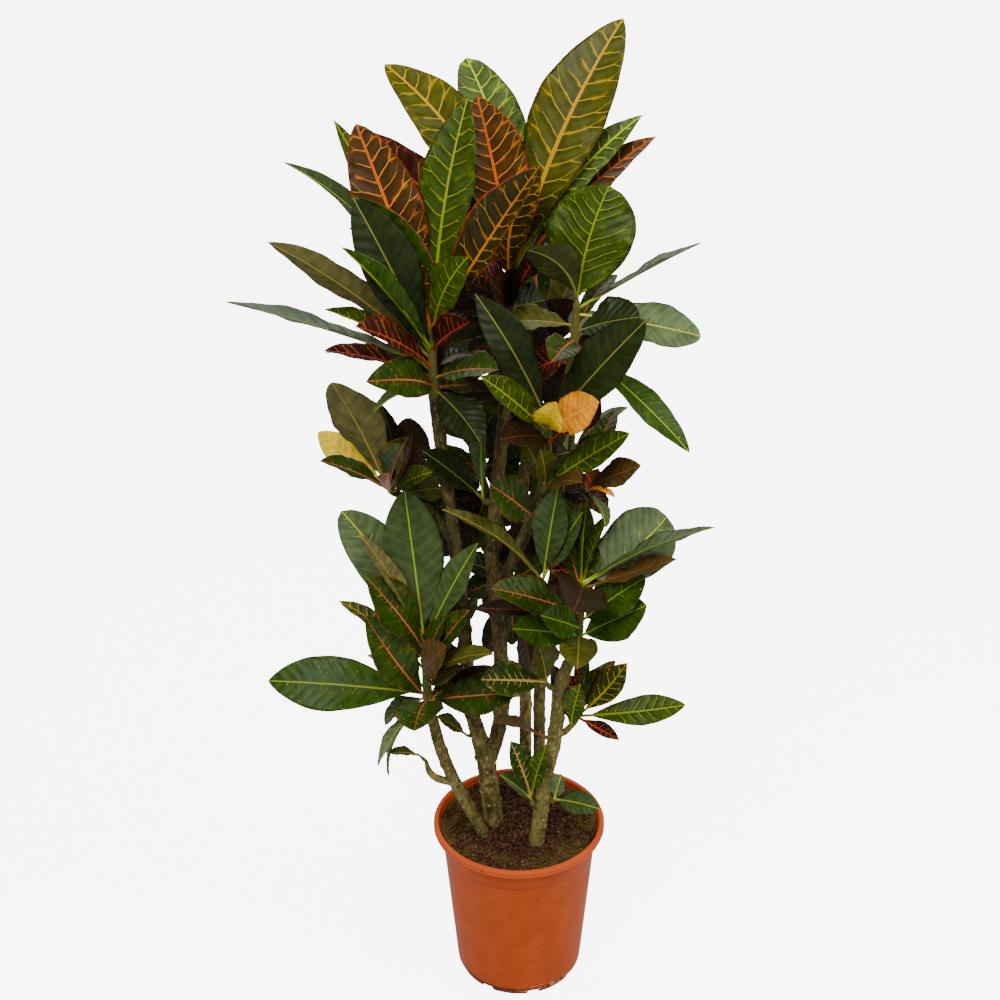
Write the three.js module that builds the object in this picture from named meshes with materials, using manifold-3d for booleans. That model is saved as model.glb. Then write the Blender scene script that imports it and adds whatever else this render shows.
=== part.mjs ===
// Potted croton: a branched plant with broad mottled leaves in a plain plastic nursery pot.
//
// Millimetres, +Z up, pot axis on Z, the pot's underside at z = 0 and the front towards -Y.
// The canes and the leaf tips are listed where they stand on the real plant. Every leaf is a
// thin waved blade on a bent midrib, and the leaves of one shoot are joined to its green stem.
import * as THREE from "three";
import { mergeVertices } from "three/addons/utils/BufferGeometryUtils.js";
import Module from "manifold-3d";

const wasm = await Module();
wasm.setup();

// ---------- driving sizes ----------

const POT = {
  height: 214,
  rimRadius: 105,
  mouthRadius: 98.5,
  lipHeight: 9,
  topRadius: 96.7,
  stepDrop: 19,
  stepDepth: 1,
  footRadius: 78.4,
  baseRadius: 74.9,
  footHeight: 8,
  wall: 2.2,
  sides: 36,
  drains: 8,
  drainTurn: 0.29, // where the first one is, as a share of their spacing
  drainWidth: 13,
  drainHeight: 5,
  drainInner: 52,
};
const SOIL = { level: 208, bump: 2.5, rings: [45, 84], seed: 11 };
const GAP = 0.4; // clearance where two pieces touch
const HOLE_GAP = 0.5; // clearance of a cane in its hole in the soil
const STEM_SIDES = 7;
const LEAF = {
  petiole: 0.1, // share of the midrib that is stalk
  stalkWidth: 1.7,
  stalkDepth: 1.4,
  top: 0.6,
  under: 1.0,
  peak: 1.27, // how far past the middle the blade is widest
  stations: [0.12, 0.36, 0.62, 0.85],
  wave: 0.05,
};
const FRONT = new THREE.Vector3(0, -0.903, 0.429); // where the plant shows its face
const SKY = new THREE.Vector3(0, 0, 1);

// ---------- the plant ----------

// Each stem is a route of [x, y, z, radius]. Its first "bark" points belong to the cane and the
// rest are the green shoot. Each leaf is [down, x, y, z, width, arch, bow, turn, fold, taper]:
// it leaves the shoot "down" mm under its top, its tip is at x, y, z, it is "width" mm wide,
// arches over by "arch" degrees and bows sideways by "bow" mm. Its face is turned "turn" degrees
// from the front to the sky, its halves rise by "fold" degrees, and "taper" is the bluntness
// of the outline in hundredths. "fill" adds leaves by rule: [count, heading, spread, length].
const stems = [
  {
    cane: "left_cane", shoot: "low_left_shoot", bark: 7,
    route: [
      [-42, -25, 120, 7.5], [-42, -25, 207, 7.5], [-60, -28, 250, 7.4], [-80, -31, 299, 7.2],
      [-93, -34, 342, 7], [-99, -35, 375, 6.8], [-104, -36, 398, 6.2], [-106, -37, 440, 5],
      [-107, -38, 487, 3.5],
    ],
    leaves: [
      [0, -195, -20, 643, 62, 15, -8, 15, 10, 55],
      [5, -170, -75, 642, 26, 15, -4, 45, 20, 90],
      [0, -124, -30, 673, 68, 10, 0, 10, 8, 65],
      [3, -45, -40, 614, 38, 18, 0, 30, 12, 85],
      [12, -164, -80, 593, 56, 20, 0, 35, 12, 85],
      [78, -167, -85, 548, 54, 20, 6, 30, 12, 85],
      [40, -209, 20, 508, 36, 30, 0, 60, 10, 85],
      [70, -287, -40, 437, 66, 25, 0, 20, 8, 80],
      [78, -2, -75, 443, 50, 15, 0, 20, 12, 80],
      [80, -116, -110, 416, 58, 50, 0, 30, 12, 65],
      [75, -157, -30, 372, 30, 60, 0, 50, 15, 75],
      [76, -165, -50, 326, 26, 35, 0, 60, 15, 80],
      [80, -154, -35, 301, 18, 60, 0, 70, 20, 80],
      [52, -28, -95, 506, 34, 45, 0, 65, 12, 85],
      [45, -80, -75, 504, 46, 40, 0, 40, 15, 70],
      [40, -54, -70, 547, 36, 25, 0, 40, 15, 80],
      [25, -82, -60, 531, 28, 20, 0, 40, 15, 80],
      [8, -114, -42, 504, 8, 5, 0, 30, 20, 90],
      [4, -104, -36, 505, 8, 5, 0, 30, 20, 90],
    ],
    fill: [3, 110, 40, 120],
  },
  {
    cane: "left_cane", shoot: "twig_shoot", bark: 4,
    route: [
      [-76, -31, 290, 5], [-97, -36, 297, 4.6], [-107, -38, 309, 4], [-109, -39, 325, 2.2],
      [-117, -39, 334, 2],
    ],
    leaves: [[0, -151, -45, 341, 18, 35, 0, 60, 15, 70]],
    fill: [0, 0, 0, 0],
  },
  {
    cane: "middle_cane", shoot: "left_crown_shoot", bark: 10,
    route: [
      [-30, 0, 120, 12], [-30, 0, 205, 12], [-36, 0, 260, 11.5], [-40, 0, 300, 11],
      [-52, 0, 351, 9], [-58, 0, 374, 8.6], [-65, 0, 520, 8], [-72, -3, 597, 7.6],
      [-85, -10, 723, 7], [-90, -14, 775, 6.4], [-91, -17, 815, 5], [-88, -20, 857, 3.5],
    ],
    leaves: [
      [0, -51, 15, 1081, 58, 12, 6, 12, 10, 80],
      [12, -161, -5, 1060, 68, 15, 0, 12, 8, 70],
      [20, -187, 30, 1057, 40, 20, 0, 40, 10, 90],
      [8, 21, -60, 1032, 62, 15, 0, 20, 40, 90],
      [35, -162, -50, 997, 60, 20, 0, 15, 8, 80],
      [25, -162, -30, 993, 48, 15, -18, 30, 45, 85],
      [22, -238, 10, 1019, 40, 50, -8, 60, 15, 90],
      [40, -247, -60, 956, 44, 25, 0, 130, 10, 80],
      [30, -172, -85, 958, 34, 20, 0, 40, 50, 90],
      [45, -302, -20, 882, 44, 8, 0, 70, 12, 85],
      [55, -195, -60, 887, 36, 30, 0, 65, 20, 90],
      [50, -159, -110, 886, 44, 25, 0, 50, 20, 80],
      [65, -195, -80, 850, 38, 25, 0, 60, 15, 85],
      [72, -149, -130, 836, 44, 45, 0, 15, 15, 75],
      [74, -150, -60, 776, 22, 60, 0, 60, 20, 90],
      [30, -49, -80, 880, 42, 25, 0, 30, 40, 80],
      [10, -50, -75, 945, 44, 20, 6, 25, 10, 75],
      [62, -21, -75, 828, 44, 30, 0, 45, 15, 75],
      [74, -40, -70, 746, 52, 40, 0, 30, 12, 75],
    ],
    fill: [3, 150, 35, 140],
  },
  {
    cane: "middle_cane", shoot: "top_shoot", bark: 8,
    route: [
      [-39, 0, 290, 9], [-26, 0, 335, 9], [-19, 0, 378, 8.7], [-22, 5, 464, 8.4],
      [-31, 10, 567, 8], [-25, 20, 652, 7.4], [-16, 25, 740, 6.8], [-12, 27, 805, 6],
      [-8, 29, 860, 4.8], [-4, 30, 909, 3.5],
    ],
    leaves: [
      [15, 105, 70, 1150, 80, 15, 10, 15, 8, 75],
      [5, -135, 45, 1109, 68, 25, -18, 20, 12, 70],
      [0, -54, 85, 1109, 66, 10, -12, 15, 8, 50],
      [10, -42, 40, 1079, 72, 15, 0, 10, 10, 80],
      [25, -157, 50, 1041, 58, 20, 6, 30, 12, 85],
      [30, 22, 0, 1018, 50, 25, 14, 20, 15, 90],
      [20, 140, 40, 1038, 48, 20, 8, 40, 12, 90],
      [10, 126, 45, 1059, 42, 20, 10, 30, 8, 90],
      [40, 25, 0, 936, 18, 10, 0, 30, 20, 90],
      [60, -30, -40, 910, 48, 30, 0, 40, 15, 75],
      [50, 6, -25, 918, 36, 30, 0, 40, 25, 90],
    ],
    fill: [3, 85, 45, 140],
  },
  {
    cane: "middle_cane", shoot: "right_crown_shoot", bark: 6,
    route: [
      [-28, 9, 530, 6], [-14, -2, 556, 6.8], [8, -5, 610, 6.4], [22, -10, 651, 6.2],
      [44, -10, 746, 6], [54, -10, 800, 5.6], [58, -10, 840, 4.6], [60, -10, 880, 3.4],
    ],
    leaves: [
      [0, 8, -50, 945, 46, 20, 12, 150, 10, 80],
      [5, 91, 5, 996, 92, 15, 5, 8, 6, 55],
      [10, 186, -5, 940, 36, 8, 0, 75, 10, 85],
      [15, 193, 10, 834, 50, 20, 0, 20, 10, 60],
      [35, 124, -40, 872, 56, 25, 0, 35, 12, 70],
      [50, 179, -60, 730, 36, 25, 0, 30, 12, 85],
      [45, 33, -90, 842, 40, 30, 0, 20, 20, 75],
    ],
    fill: [3, 60, 25, 105],
  },
  {
    cane: "middle_cane", shoot: "centre_shoot", bark: 2,
    route: [[31, -10, 690, 4.5], [31, -24, 712, 4.2], [31, -32, 730, 3.8], [31, -36, 751, 3]],
    leaves: [
      [0, -44, -54, 901, 46, 12, -4, 15, 12, 85],
      [10, -39, -90, 827, 36, 20, 0, 25, 25, 85],
      [5, 80, -100, 803, 44, 15, 0, 15, 10, 65],
      [2, 37, -70, 791, 22, 20, 0, 20, 10, 65],
      [20, -19, -110, 766, 44, 35, 0, 40, 12, 80],
      [25, 65, -80, 774, 26, 25, 0, 50, 10, 80],
      [4, 126, -80, 882, 58, 20, 0, 20, 10, 65],
      [0, 37, -120, 810, 36, 30, 0, 10, 20, 75],
    ],
    fill: [0, 0, 0, 0],
  },
  {
    cane: "middle_cane", shoot: "inner_shoot", bark: 2,
    route: [[24, -10, 660, 4], [27, -24, 668, 3.8], [28, -29, 674, 3.4], [28, -32, 681, 3]],
    leaves: [
      [2, 3, -60, 749, 34, 15, 0, 30, 12, 80],
      [0, 22, -80, 742, 30, 20, 0, 30, 12, 80],
      [6, 65, -90, 710, 34, 30, 0, 60, 10, 80],
      [4, 116, -50, 748, 36, 20, 0, 25, 15, 75],
    ],
    fill: [0, 0, 0, 0],
  },
  {
    cane: "middle_cane", shoot: "branch_leaf", bark: 2,
    route: [[14, -7, 628, 4], [16, -18, 630, 3.4], [16, -22, 633, 3.2], [15, -25, 638, 3]],
    leaves: [[0, -31, -70, 698, 50, 25, 0, 20, 15, 70]],
    fill: [0, 0, 0, 0],
  },
  {
    cane: "middle_cane", shoot: "inner_left_shoot", bark: 2,
    route: [[-26, 18, 640, 4], [-35, 7, 641, 3.6], [-39, 3, 644, 3.2], [-41, 0, 649, 3]],
    leaves: [
      [0, -103, -30, 719, 36, 20, 0, 30, 12, 80],
      [3, -37, -40, 775, 30, 10, 0, 45, 20, 85],
    ],
    fill: [0, 0, 0, 0],
  },
  {
    cane: "middle_cane", shoot: "right_mid_shoot", bark: 3,
    route: [
      [23, -10, 655, 4.5], [50, -16, 660, 4.2], [64, -19, 665, 4], [70, -21, 669, 3.6],
      [75, -22, 674, 3],
    ],
    leaves: [
      [2, 129, -50, 711, 34, 10, 0, 30, 12, 80],
      [0, 69, -80, 716, 30, 25, 0, 40, 20, 80],
      [5, 102, -60, 678, 12, 40, 0, 60, 20, 80],
      [7, 92, -75, 650, 22, 50, 0, 60, 15, 80],
    ],
    fill: [1, 60, 20, 100],
  },
  {
    cane: "middle_cane", shoot: "low_inner_shoot", bark: 3,
    route: [
      [-14, -2, 556, 4.5], [6, -20, 547, 4.2], [20, -29, 552, 4], [25, -31, 558, 3.6],
      [27, -32, 566, 3],
    ],
    leaves: [
      [0, 42, -40, 680, 44, 12, 0, 20, 15, 75],
      [2, 68, -50, 656, 36, 15, 0, 35, 15, 80],
      [4, -81, -80, 674, 26, 35, 0, 55, 25, 90],
    ],
    fill: [0, 0, 0, 0],
  },
  {
    cane: "middle_cane", shoot: "left_mid_shoot", bark: 3,
    route: [
      [-71, -3, 590, 5], [-98, 8, 632, 4.4], [-126, -8, 656, 4], [-136, -20, 664, 3.6],
      [-142, -30, 674, 3],
    ],
    leaves: [
      [0, -192, -60, 809, 62, 20, 0, 150, 10, 75],
      [4, -221, 20, 720, 36, 10, 0, 10, 10, 80],
      [8, -212, -40, 712, 36, 25, 0, 60, 15, 85],
      [0, -148, -10, 765, 26, 15, -10, 60, 15, 85],
      [5, -119, 20, 737, 50, 15, -12, 20, 12, 70],
      [3, -115, -70, 752, 36, 20, 0, 40, 35, 85],
      [10, -118, -90, 752, 42, 25, 0, 40, 20, 70],
      [8, -133, -100, 725, 22, 25, 0, 30, 15, 80],
      [12, -92, -60, 708, 28, 30, 0, 40, 12, 75],
    ],
    fill: [2, 110, 30, 110],
  },
  {
    cane: "middle_cane", shoot: "trunk_leaf", bark: 2,
    route: [[-52, 0, 343, 3], [-58, -9, 341, 2.4], [-60, -11, 342, 2.2], [-62, -13, 344, 2]],
    leaves: [[0, -96, -20, 376, 22, 20, 0, 50, 12, 80]],
    fill: [0, 0, 0, 0],
  },
  {
    cane: "right_cane", shoot: "low_right_shoot", bark: 9,
    route: [
      [21, -40, 120, 9], [21, -40, 203, 9], [31, -40, 306, 8.8], [41, -40, 352, 8.6],
      [45, -40, 396, 8.4], [46, -40, 422, 8.2], [51, -40, 447, 7.6], [61, -40, 470, 5.5],
      [67, -40, 487, 4.6], [69, -40, 525, 4.2], [68, -40, 564, 3.4],
    ],
    leaves: [
      [0, 168, 30, 612, 78, 25, -8, 15, 8, 50],
      [5, 213, -40, 633, 40, 25, 0, 75, 10, 85],
      [8, 172, -50, 599, 44, 4, 0, 65, 12, 85],
      [50, 139, -50, 577, 54, 20, 0, 30, 10, 65],
      [69, 140, -65, 550, 56, 15, 0, 25, 10, 70],
      [40, -30, -85, 582, 48, 20, 0, 40, 12, 80],
      [3, 56, -150, 590, 62, 40, 0, 0, 12, 65],
      [45, -52, -35, 528, 30, 20, 0, 50, 12, 80],
      [68, -7, -75, 526, 44, 20, 0, 25, 15, 75],
      [58, 24, -95, 554, 42, 25, 0, 20, 15, 70],
      [68, 63, -110, 497, 44, 50, 0, 5, 10, 60],
      [10, 73, -45, 670, 24, 10, 0, 75, 20, 90],
      [6, 97, -25, 640, 28, 15, 0, 60, 20, 90],
    ],
    fill: [3, 80, 35, 110],
  },
  {
    cane: "right_cane", shoot: "right_side_shoot", bark: 2,
    route: [[42, -40, 362, 4.5], [53, -44, 370, 4], [63, -46, 383, 3.6], [70, -46, 396, 3]],
    leaves: [
      [0, 123, -40, 461, 34, 20, -4, 20, 15, 95],
      [3, 191, -50, 411, 36, 25, -4, 25, 10, 80],
      [5, 113, -90, 390, 20, 0, 0, 30, 30, 85],
      [20, 69, -70, 452, 30, 20, 0, 25, 15, 80],
      [2, 66, -20, 452, 22, 20, 0, 40, 15, 85],
      [1, 80, -22, 454, 26, 15, 0, 45, 20, 85],
    ],
    fill: [1, 45, 20, 80],
  },
  {
    cane: "right_cane", shoot: "low_centre_shoot", bark: 2,
    route: [[46, -40, 425, 4], [36, -41, 429, 3.6], [33, -42, 432, 3.2], [31, -42, 437, 3]],
    leaves: [
      [0, -42, -90, 470, 44, 10, 0, 25, 12, 75],
      [2, 20, -60, 503, 40, 20, 0, 30, 15, 80],
    ],
    fill: [0, 0, 0, 0],
  },
  {
    cane: "right_cane", shoot: "lone_leaf", bark: 2,
    route: [[42, -40, 364, 3], [33, -46, 364, 2.5], [31, -48, 365, 2.2], [29, -49, 367, 2]],
    leaves: [[0, -29, -85, 412, 30, 20, 0, 75, 15, 85]],
    fill: [0, 0, 0, 0],
  },
  {
    cane: "right_cane", shoot: "base_shoot", bark: 2,
    route: [[27, -40, 262, 4], [18, -46, 268, 3.6], [15, -48, 273, 3.2], [14, -48, 280, 3]],
    leaves: [
      [0, -10, -60, 368, 34, 15, 0, 35, 15, 85],
      [0, 31, -60, 361, 26, 15, 0, 30, 15, 85],
      [2, -22, -75, 332, 26, 15, 0, 60, 15, 85],
    ],
    fill: [0, 0, 0, 0],
  },
  {
    cane: "right_cane", shoot: "base_right_shoot", bark: 2,
    route: [[28, -40, 274, 4], [38, -46, 275, 3.6], [41, -50, 277, 3.2], [42, -53, 282, 3]],
    leaves: [
      [2, 93, -90, 295, 30, 40, 0, 30, 12, 80],
      [0, 50, -64, 325, 22, 20, 0, 30, 12, 70],
    ],
    fill: [0, 0, 0, 0],
  },
  {
    cane: "back_cane", shoot: "back_crown_shoot", bark: 7,
    route: [
      [8, 52, 120, 7.5], [8, 52, 205, 7.5], [8, 52, 349, 7.4], [5, 53, 430, 7.2],
      [2, 58, 520, 7], [5, 64, 640, 6.6], [14, 80, 720, 6], [20, 92, 760, 4.6], [24, 98, 795, 3.4],
    ],
    leaves: [
      [5, -54, 64, 832, 46, 20, 0, 20, 15, 80],
      [15, -45, 62, 800, 44, 25, 0, 30, 15, 80],
      [3, 61, 82, 850, 48, 20, 0, 20, 15, 80],
      [20, 99, 72, 795, 46, 25, 0, 30, 15, 80],
      [50, -57, 60, 732, 46, 25, 0, 20, 12, 75],
      [56, -20, 55, 668, 44, 20, 0, 15, 12, 75],
      [58, 44, 58, 682, 42, 20, 0, 20, 12, 75],
      [0, 1, 92, 865, 40, 15, 0, 15, 12, 85],
    ],
    fill: [4, 85, 55, 160],
  },
  {
    cane: "back_cane", shoot: "back_left_shoot", bark: 3,
    route: [
      [2, 58, 520, 5.5], [-20, 80, 570, 5.2], [-38, 98, 610, 5], [-46, 106, 635, 4.2],
      [-52, 112, 665, 3.4],
    ],
    leaves: [
      [0, -95, 100, 738, 52, 20, 0, 15, 12, 70],
      [3, -16, 92, 735, 44, 15, 0, 20, 15, 80],
      [10, 6, 78, 690, 42, 20, 0, 20, 12, 80],
      [30, 8, 74, 633, 42, 25, 0, 15, 12, 75],
      [40, -78, 92, 602, 40, 30, 0, 20, 12, 75],
      [15, -98, 105, 645, 36, 30, 0, 30, 15, 80],
    ],
    fill: [3, 140, 50, 130],
  },
  {
    cane: "back_cane", shoot: "back_low_shoot", bark: 2,
    route: [[2, 56, 500, 4.5], [-6, 44, 507, 4], [-10, 37, 517, 3.6], [-12, 34, 531, 3]],
    leaves: [
      [0, -65, 34, 509, 32, 25, 0, 20, 12, 80],
      [8, -31, 32, 476, 36, 25, 0, 15, 12, 75],
      [10, 10, 33, 484, 34, 30, 0, 15, 12, 75],
      [0, 6, 34, 603, 36, 15, 0, 20, 12, 80],
      [2, -71, 36, 554, 32, 25, 0, 35, 12, 80],
    ],
    fill: [0, 0, 0, 0],
  },
  {
    cane: "far_cane", shoot: "back_mid_shoot", bark: 6,
    route: [
      [26, 66, 120, 7.5], [26, 66, 205, 7.5], [25, 66, 349, 7.4], [30, 70, 440, 7],
      [48, 88, 540, 6.4], [58, 98, 620, 6], [60, 102, 655, 4.6], [62, 104, 690, 3.4],
    ],
    leaves: [
      [5, 92, 80, 740, 42, 20, 0, 20, 12, 80],
      [20, 107, 85, 668, 42, 25, 0, 25, 12, 80],
      [30, 28, 72, 665, 44, 20, 0, 15, 12, 75],
      [52, 95, 76, 600, 44, 30, 0, 20, 12, 75],
      [55, 40, 70, 585, 42, 25, 0, 15, 12, 75],
      [0, 76, 110, 758, 34, 15, 0, 20, 12, 80],
    ],
    fill: [3, 60, 50, 110],
  },
];

// ---------- helpers ----------

// Repeatable draws between 0 and 1.
function drawsFrom(seed) {
  let state = seed;
  return () => {
    state = (state * 16807) % 2147483647;
    return state / 2147483647;
  };
}

const radians = THREE.MathUtils.degToRad;

// A closed solid over rings with equal point counts. The last ring may be a single point.
// Neighbouring quads take mirrored diagonals, so a blade is split alike on both faces.
function skin(rings) {
  const count = rings[0].length;
  const points = rings.flat().flatMap((point) => point.toArray());
  const faces = [];
  for (let i = 1; i < count - 1; i += 1) {
    faces.push(0, i + 1, i);
  }
  let start = 0;
  for (let k = 1; k < rings.length; k += 1) {
    const next = start + count;
    const pointed = rings[k].length === 1;
    for (let i = 0; i < count; i += 1) {
      const j = (i + 1) % count;
      if (pointed) {
        faces.push(start + i, start + j, next);
      } else if (i % 2 === 0) {
        faces.push(start + i, start + j, next + j, start + i, next + j, next + i);
      } else {
        faces.push(start + i, start + j, next + i, start + j, next + j, next + i);
      }
    }
    start = next;
  }
  if (rings.at(-1).length > 1) {
    for (let i = 1; i < count - 1; i += 1) {
      faces.push(start, start + i, start + i + 1);
    }
  }
  return new wasm.Manifold(new wasm.Mesh({
    numProp: 3,
    vertProperties: Float32Array.from(points),
    triVerts: Uint32Array.from(faces),
  }));
}

function solidFrom(geometry) {
  const bare = geometry.clone();
  bare.deleteAttribute("normal");
  bare.deleteAttribute("uv");
  const merged = mergeVertices(bare, 1e-4);
  return new wasm.Manifold(new wasm.Mesh({
    numProp: 3,
    vertProperties: merged.attributes.position.array,
    triVerts: Uint32Array.from(merged.index.array),
  }));
}

function geometryOf(solid) {
  const mesh = solid.getMesh();
  const geometry = new THREE.BufferGeometry();
  geometry.setAttribute("position", new THREE.BufferAttribute(mesh.vertProperties, 3));
  geometry.setIndex(new THREE.BufferAttribute(mesh.triVerts, 1));
  const facets = geometry.toNonIndexed();
  facets.computeVertexNormals();
  return facets;
}

// The solids joined as one body, with any hollow sealed between crossing leaves filled.
function joined(solids) {
  const bodies = wasm.Manifold.union(solids).decompose();
  return bodies.reduce((most, body) => (body.volume() > most.volume() ? body : most));
}

// ---------- pot and soil ----------

function potRadiusAt(z) {
  const share = (z - POT.footHeight) / (POT.height - POT.lipHeight - POT.footHeight);
  return POT.footRadius + (POT.topRadius - POT.footRadius) * share;
}

function makePot() {
  const stepZ = POT.height - POT.stepDrop;
  const lipZ = POT.height - POT.lipHeight;
  const floor = POT.footHeight + 1;
  const profile = [
    [0, 0], [POT.baseRadius, 0], [POT.baseRadius, POT.footHeight - 3],
    [POT.footRadius - 1.5, POT.footHeight - 1.5], [POT.footRadius, POT.footHeight + 3],
    [potRadiusAt(stepZ) - POT.stepDepth, stepZ], [potRadiusAt(stepZ), stepZ + 1.5],
    [POT.topRadius, lipZ - 1], [POT.rimRadius - 1.5, lipZ], [POT.rimRadius, lipZ + 2],
    [POT.rimRadius, POT.height - 2], [POT.rimRadius - 2, POT.height],
    [POT.mouthRadius, POT.height], [POT.topRadius - POT.wall, lipZ - 3],
    [potRadiusAt(floor) - POT.wall, floor], [0, floor],
  ];
  const outline = profile.map(([r, z]) => new THREE.Vector2(r, z));
  const body = new THREE.LatheGeometry(outline, POT.sides).rotateX(Math.PI / 2);
  let pot = solidFrom(body);
  for (let i = 0; i < POT.drains; i += 1) {
    const angle = (i + POT.drainTurn) * (2 * Math.PI / POT.drains);
    const length = POT.footRadius - POT.drainInner + 4;
    const slot = new THREE.BoxGeometry(length, POT.drainWidth, POT.drainHeight * 2);
    slot.translate(POT.drainInner + length / 2, 0, 0).rotateZ(angle);
    const hole = new THREE.CylinderGeometry(POT.drainWidth / 2.4, POT.drainWidth / 2.4, 40, 10);
    hole.rotateX(Math.PI / 2).translate(POT.drainInner + 9, 0, 0).rotateZ(angle);
    pot = pot.subtract(solidFrom(slot)).subtract(solidFrom(hole));
  }
  return pot;
}

function makeSoil() {
  const draw = drawsFrom(SOIL.seed);
  const bottom = POT.footHeight + 1 + GAP;
  const edge = (z) => potRadiusAt(z) - POT.wall - GAP;
  const ring = (radius, height) => Array.from({ length: POT.sides }, (_, i) => {
    const angle = (i / POT.sides) * 2 * Math.PI;
    return new THREE.Vector3(radius * Math.cos(angle), radius * Math.sin(angle), height());
  });
  const rim = ring(edge(SOIL.level - 3), () => SOIL.level - 3);
  const bumps = SOIL.rings.toReversed();
  const surface = bumps.map((radius) => (
    ring(radius, () => SOIL.level + (draw() - 0.5) * 2 * SOIL.bump)
  ));
  const middle = [new THREE.Vector3(0, 0, SOIL.level)];
  return skin([ring(edge(bottom), () => bottom), rim, ...surface, middle]);
}

// ---------- stems ----------

function tangentAt(route, k) {
  const before = route[Math.max(k - 1, 0)];
  const after = route[Math.min(k + 1, route.length - 1)];
  return new THREE.Vector3(after[0] - before[0], after[1] - before[1], after[2] - before[2])
    .normalize();
}

// Rings square to the route; the side that starts each ring stays towards +X.
function stemRings(route) {
  return route.map(([x, y, z, radius], k) => {
    const along = tangentAt(route, k);
    const front = new THREE.Vector3().crossVectors(along, new THREE.Vector3(1, 0, 0)).normalize();
    const side = new THREE.Vector3().crossVectors(front, along);
    return Array.from({ length: STEM_SIDES }, (_, i) => {
      const angle = (i / STEM_SIDES) * 2 * Math.PI;
      return new THREE.Vector3(x, y, z)
        .addScaledVector(side, radius * Math.cos(angle))
        .addScaledVector(front, radius * Math.sin(angle));
    });
  });
}

// The point "down" mm below the top of a stem.
function pointDown(route, down) {
  let left = down;
  for (let k = route.length - 1; k > 0; k -= 1) {
    const top = new THREE.Vector3(...route[k]);
    const foot = new THREE.Vector3(...route[k - 1]);
    const length = top.distanceTo(foot);
    if (left <= length) {
      return top.lerp(foot, left / length);
    }
    left -= length;
  }
  return new THREE.Vector3(...route[0]);
}

// ---------- leaves ----------

// One leaf from its base to its tip. "face" is the direction that its upper side looks.
function makeLeaf(base, tip, face, width, arch, bow, fold, taper, draw) {
  const chord = tip.clone().sub(base);
  const length = chord.length();
  const along = chord.clone().normalize();
  const normal = face.clone().addScaledVector(along, -face.dot(along)).normalize();
  const side = new THREE.Vector3().crossVectors(normal, along);
  const bend = radians(Math.max(arch, 2));
  const radius = length / (2 * Math.sin(bend / 2));
  const phases = [draw() * 2 * Math.PI, draw() * 2 * Math.PI];
  const rise = radians(fold);

  const ringAt = (t, halfWidth, top, under, u) => {
    const angle = bend * (0.5 - t);
    const spine = base.clone()
      .addScaledVector(along, radius * (Math.sin(bend / 2) - Math.sin(angle)))
      .addScaledVector(normal, radius * (Math.cos(angle) - Math.cos(bend / 2)))
      .addScaledVector(side, bow * 4 * t * (1 - t));
    const up = normal.clone().multiplyScalar(Math.cos(angle))
      .addScaledVector(along, -Math.sin(angle));
    const edge = (sign, phase) => {
      const ripple = LEAF.wave * width * Math.sin(4 * Math.PI * u + phase) * Math.sin(Math.PI * u);
      return spine.clone()
        .addScaledVector(side, sign * halfWidth * Math.cos(rise))
        .addScaledVector(up, halfWidth * Math.sin(rise) + ripple);
    };
    return [
      edge(1, phases[0]), spine.clone().addScaledVector(up, top),
      edge(-1, phases[1]), spine.clone().addScaledVector(up, -under),
    ];
  };

  const blade = LEAF.stations.map((u) => {
    const swell = Math.sin(Math.PI * u ** LEAF.peak) ** (taper / 100);
    const half = Math.max((width / 2) * swell, LEAF.stalkWidth);
    return ringAt(LEAF.petiole + (1 - LEAF.petiole) * u, half, LEAF.top, LEAF.under, u);
  });
  return skin([
    ringAt(0, LEAF.stalkWidth, LEAF.stalkDepth, LEAF.stalkDepth, 0),
    ringAt(LEAF.petiole, LEAF.stalkWidth, LEAF.stalkDepth, LEAF.stalkDepth, 0),
    ...blade,
    [tip],
  ]);
}

// The way a leaf faces when it is turned from the front towards the sky.
function turnedFace(base, tip, turn) {
  const along = tip.clone().sub(base).normalize();
  const front = FRONT.clone().addScaledVector(along, -FRONT.dot(along)).normalize();
  const sky = new THREE.Vector3().crossVectors(along, front);
  if (sky.z < 0) {
    sky.negate();
  }
  return front.multiplyScalar(Math.cos(radians(turn)))
    .addScaledVector(sky, Math.sin(radians(turn)));
}

// The leaves listed for a shoot, joined to the leaves that its rule adds on the far side.
function shootLeaves(stem, seed) {
  const draw = drawsFrom(seed);
  const listed = stem.leaves.map(([down, x, y, z, width, arch, bow, turn, fold, taper]) => {
    const base = pointDown(stem.route, down);
    const tip = new THREE.Vector3(x, y, z);
    return makeLeaf(base, tip, turnedFace(base, tip, turn), width, arch, bow, fold, taper, draw);
  });
  const [count, heading, spread, length] = stem.fill;
  const top = stem.route.at(-1);
  const greenLength = new THREE.Vector3(...top)
    .distanceTo(new THREE.Vector3(...stem.route[stem.bark - 1]));
  const added = Array.from({ length: count }, (_, i) => {
    const share = (i + 0.5) / count;
    const base = pointDown(stem.route, greenLength * 0.9 * share);
    const turn = (((i + 1) * 0.618) % 1) * 2 - 1;
    const way = radians(heading + spread * turn);
    const climb = radians(68 - 75 * share + 16 * (draw() - 0.5));
    const reach = length * (0.75 + 0.4 * draw());
    const tip = new THREE.Vector3(Math.cos(way), Math.sin(way), 0)
      .multiplyScalar(Math.cos(climb))
      .addScaledVector(SKY, Math.sin(climb))
      .multiplyScalar(reach)
      .add(base);
    const width = reach * (0.24 + 0.1 * draw());
    return makeLeaf(base, tip, SKY, width, 35 + 25 * draw(), 0, 10, 80, draw);
  });
  return [...listed, ...added];
}

// ---------- assembly ----------

const FINISH = {
  pot: { color: 0xb9602f, roughness: 0.5, metalness: 0 },
  soil: { color: 0x3b2c20, roughness: 1, metalness: 0 },
  cane: { color: 0x6b6242, roughness: 0.9, metalness: 0 },
  shoot: { color: 0x3d5320, roughness: 0.4, metalness: 0 },
};

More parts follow.
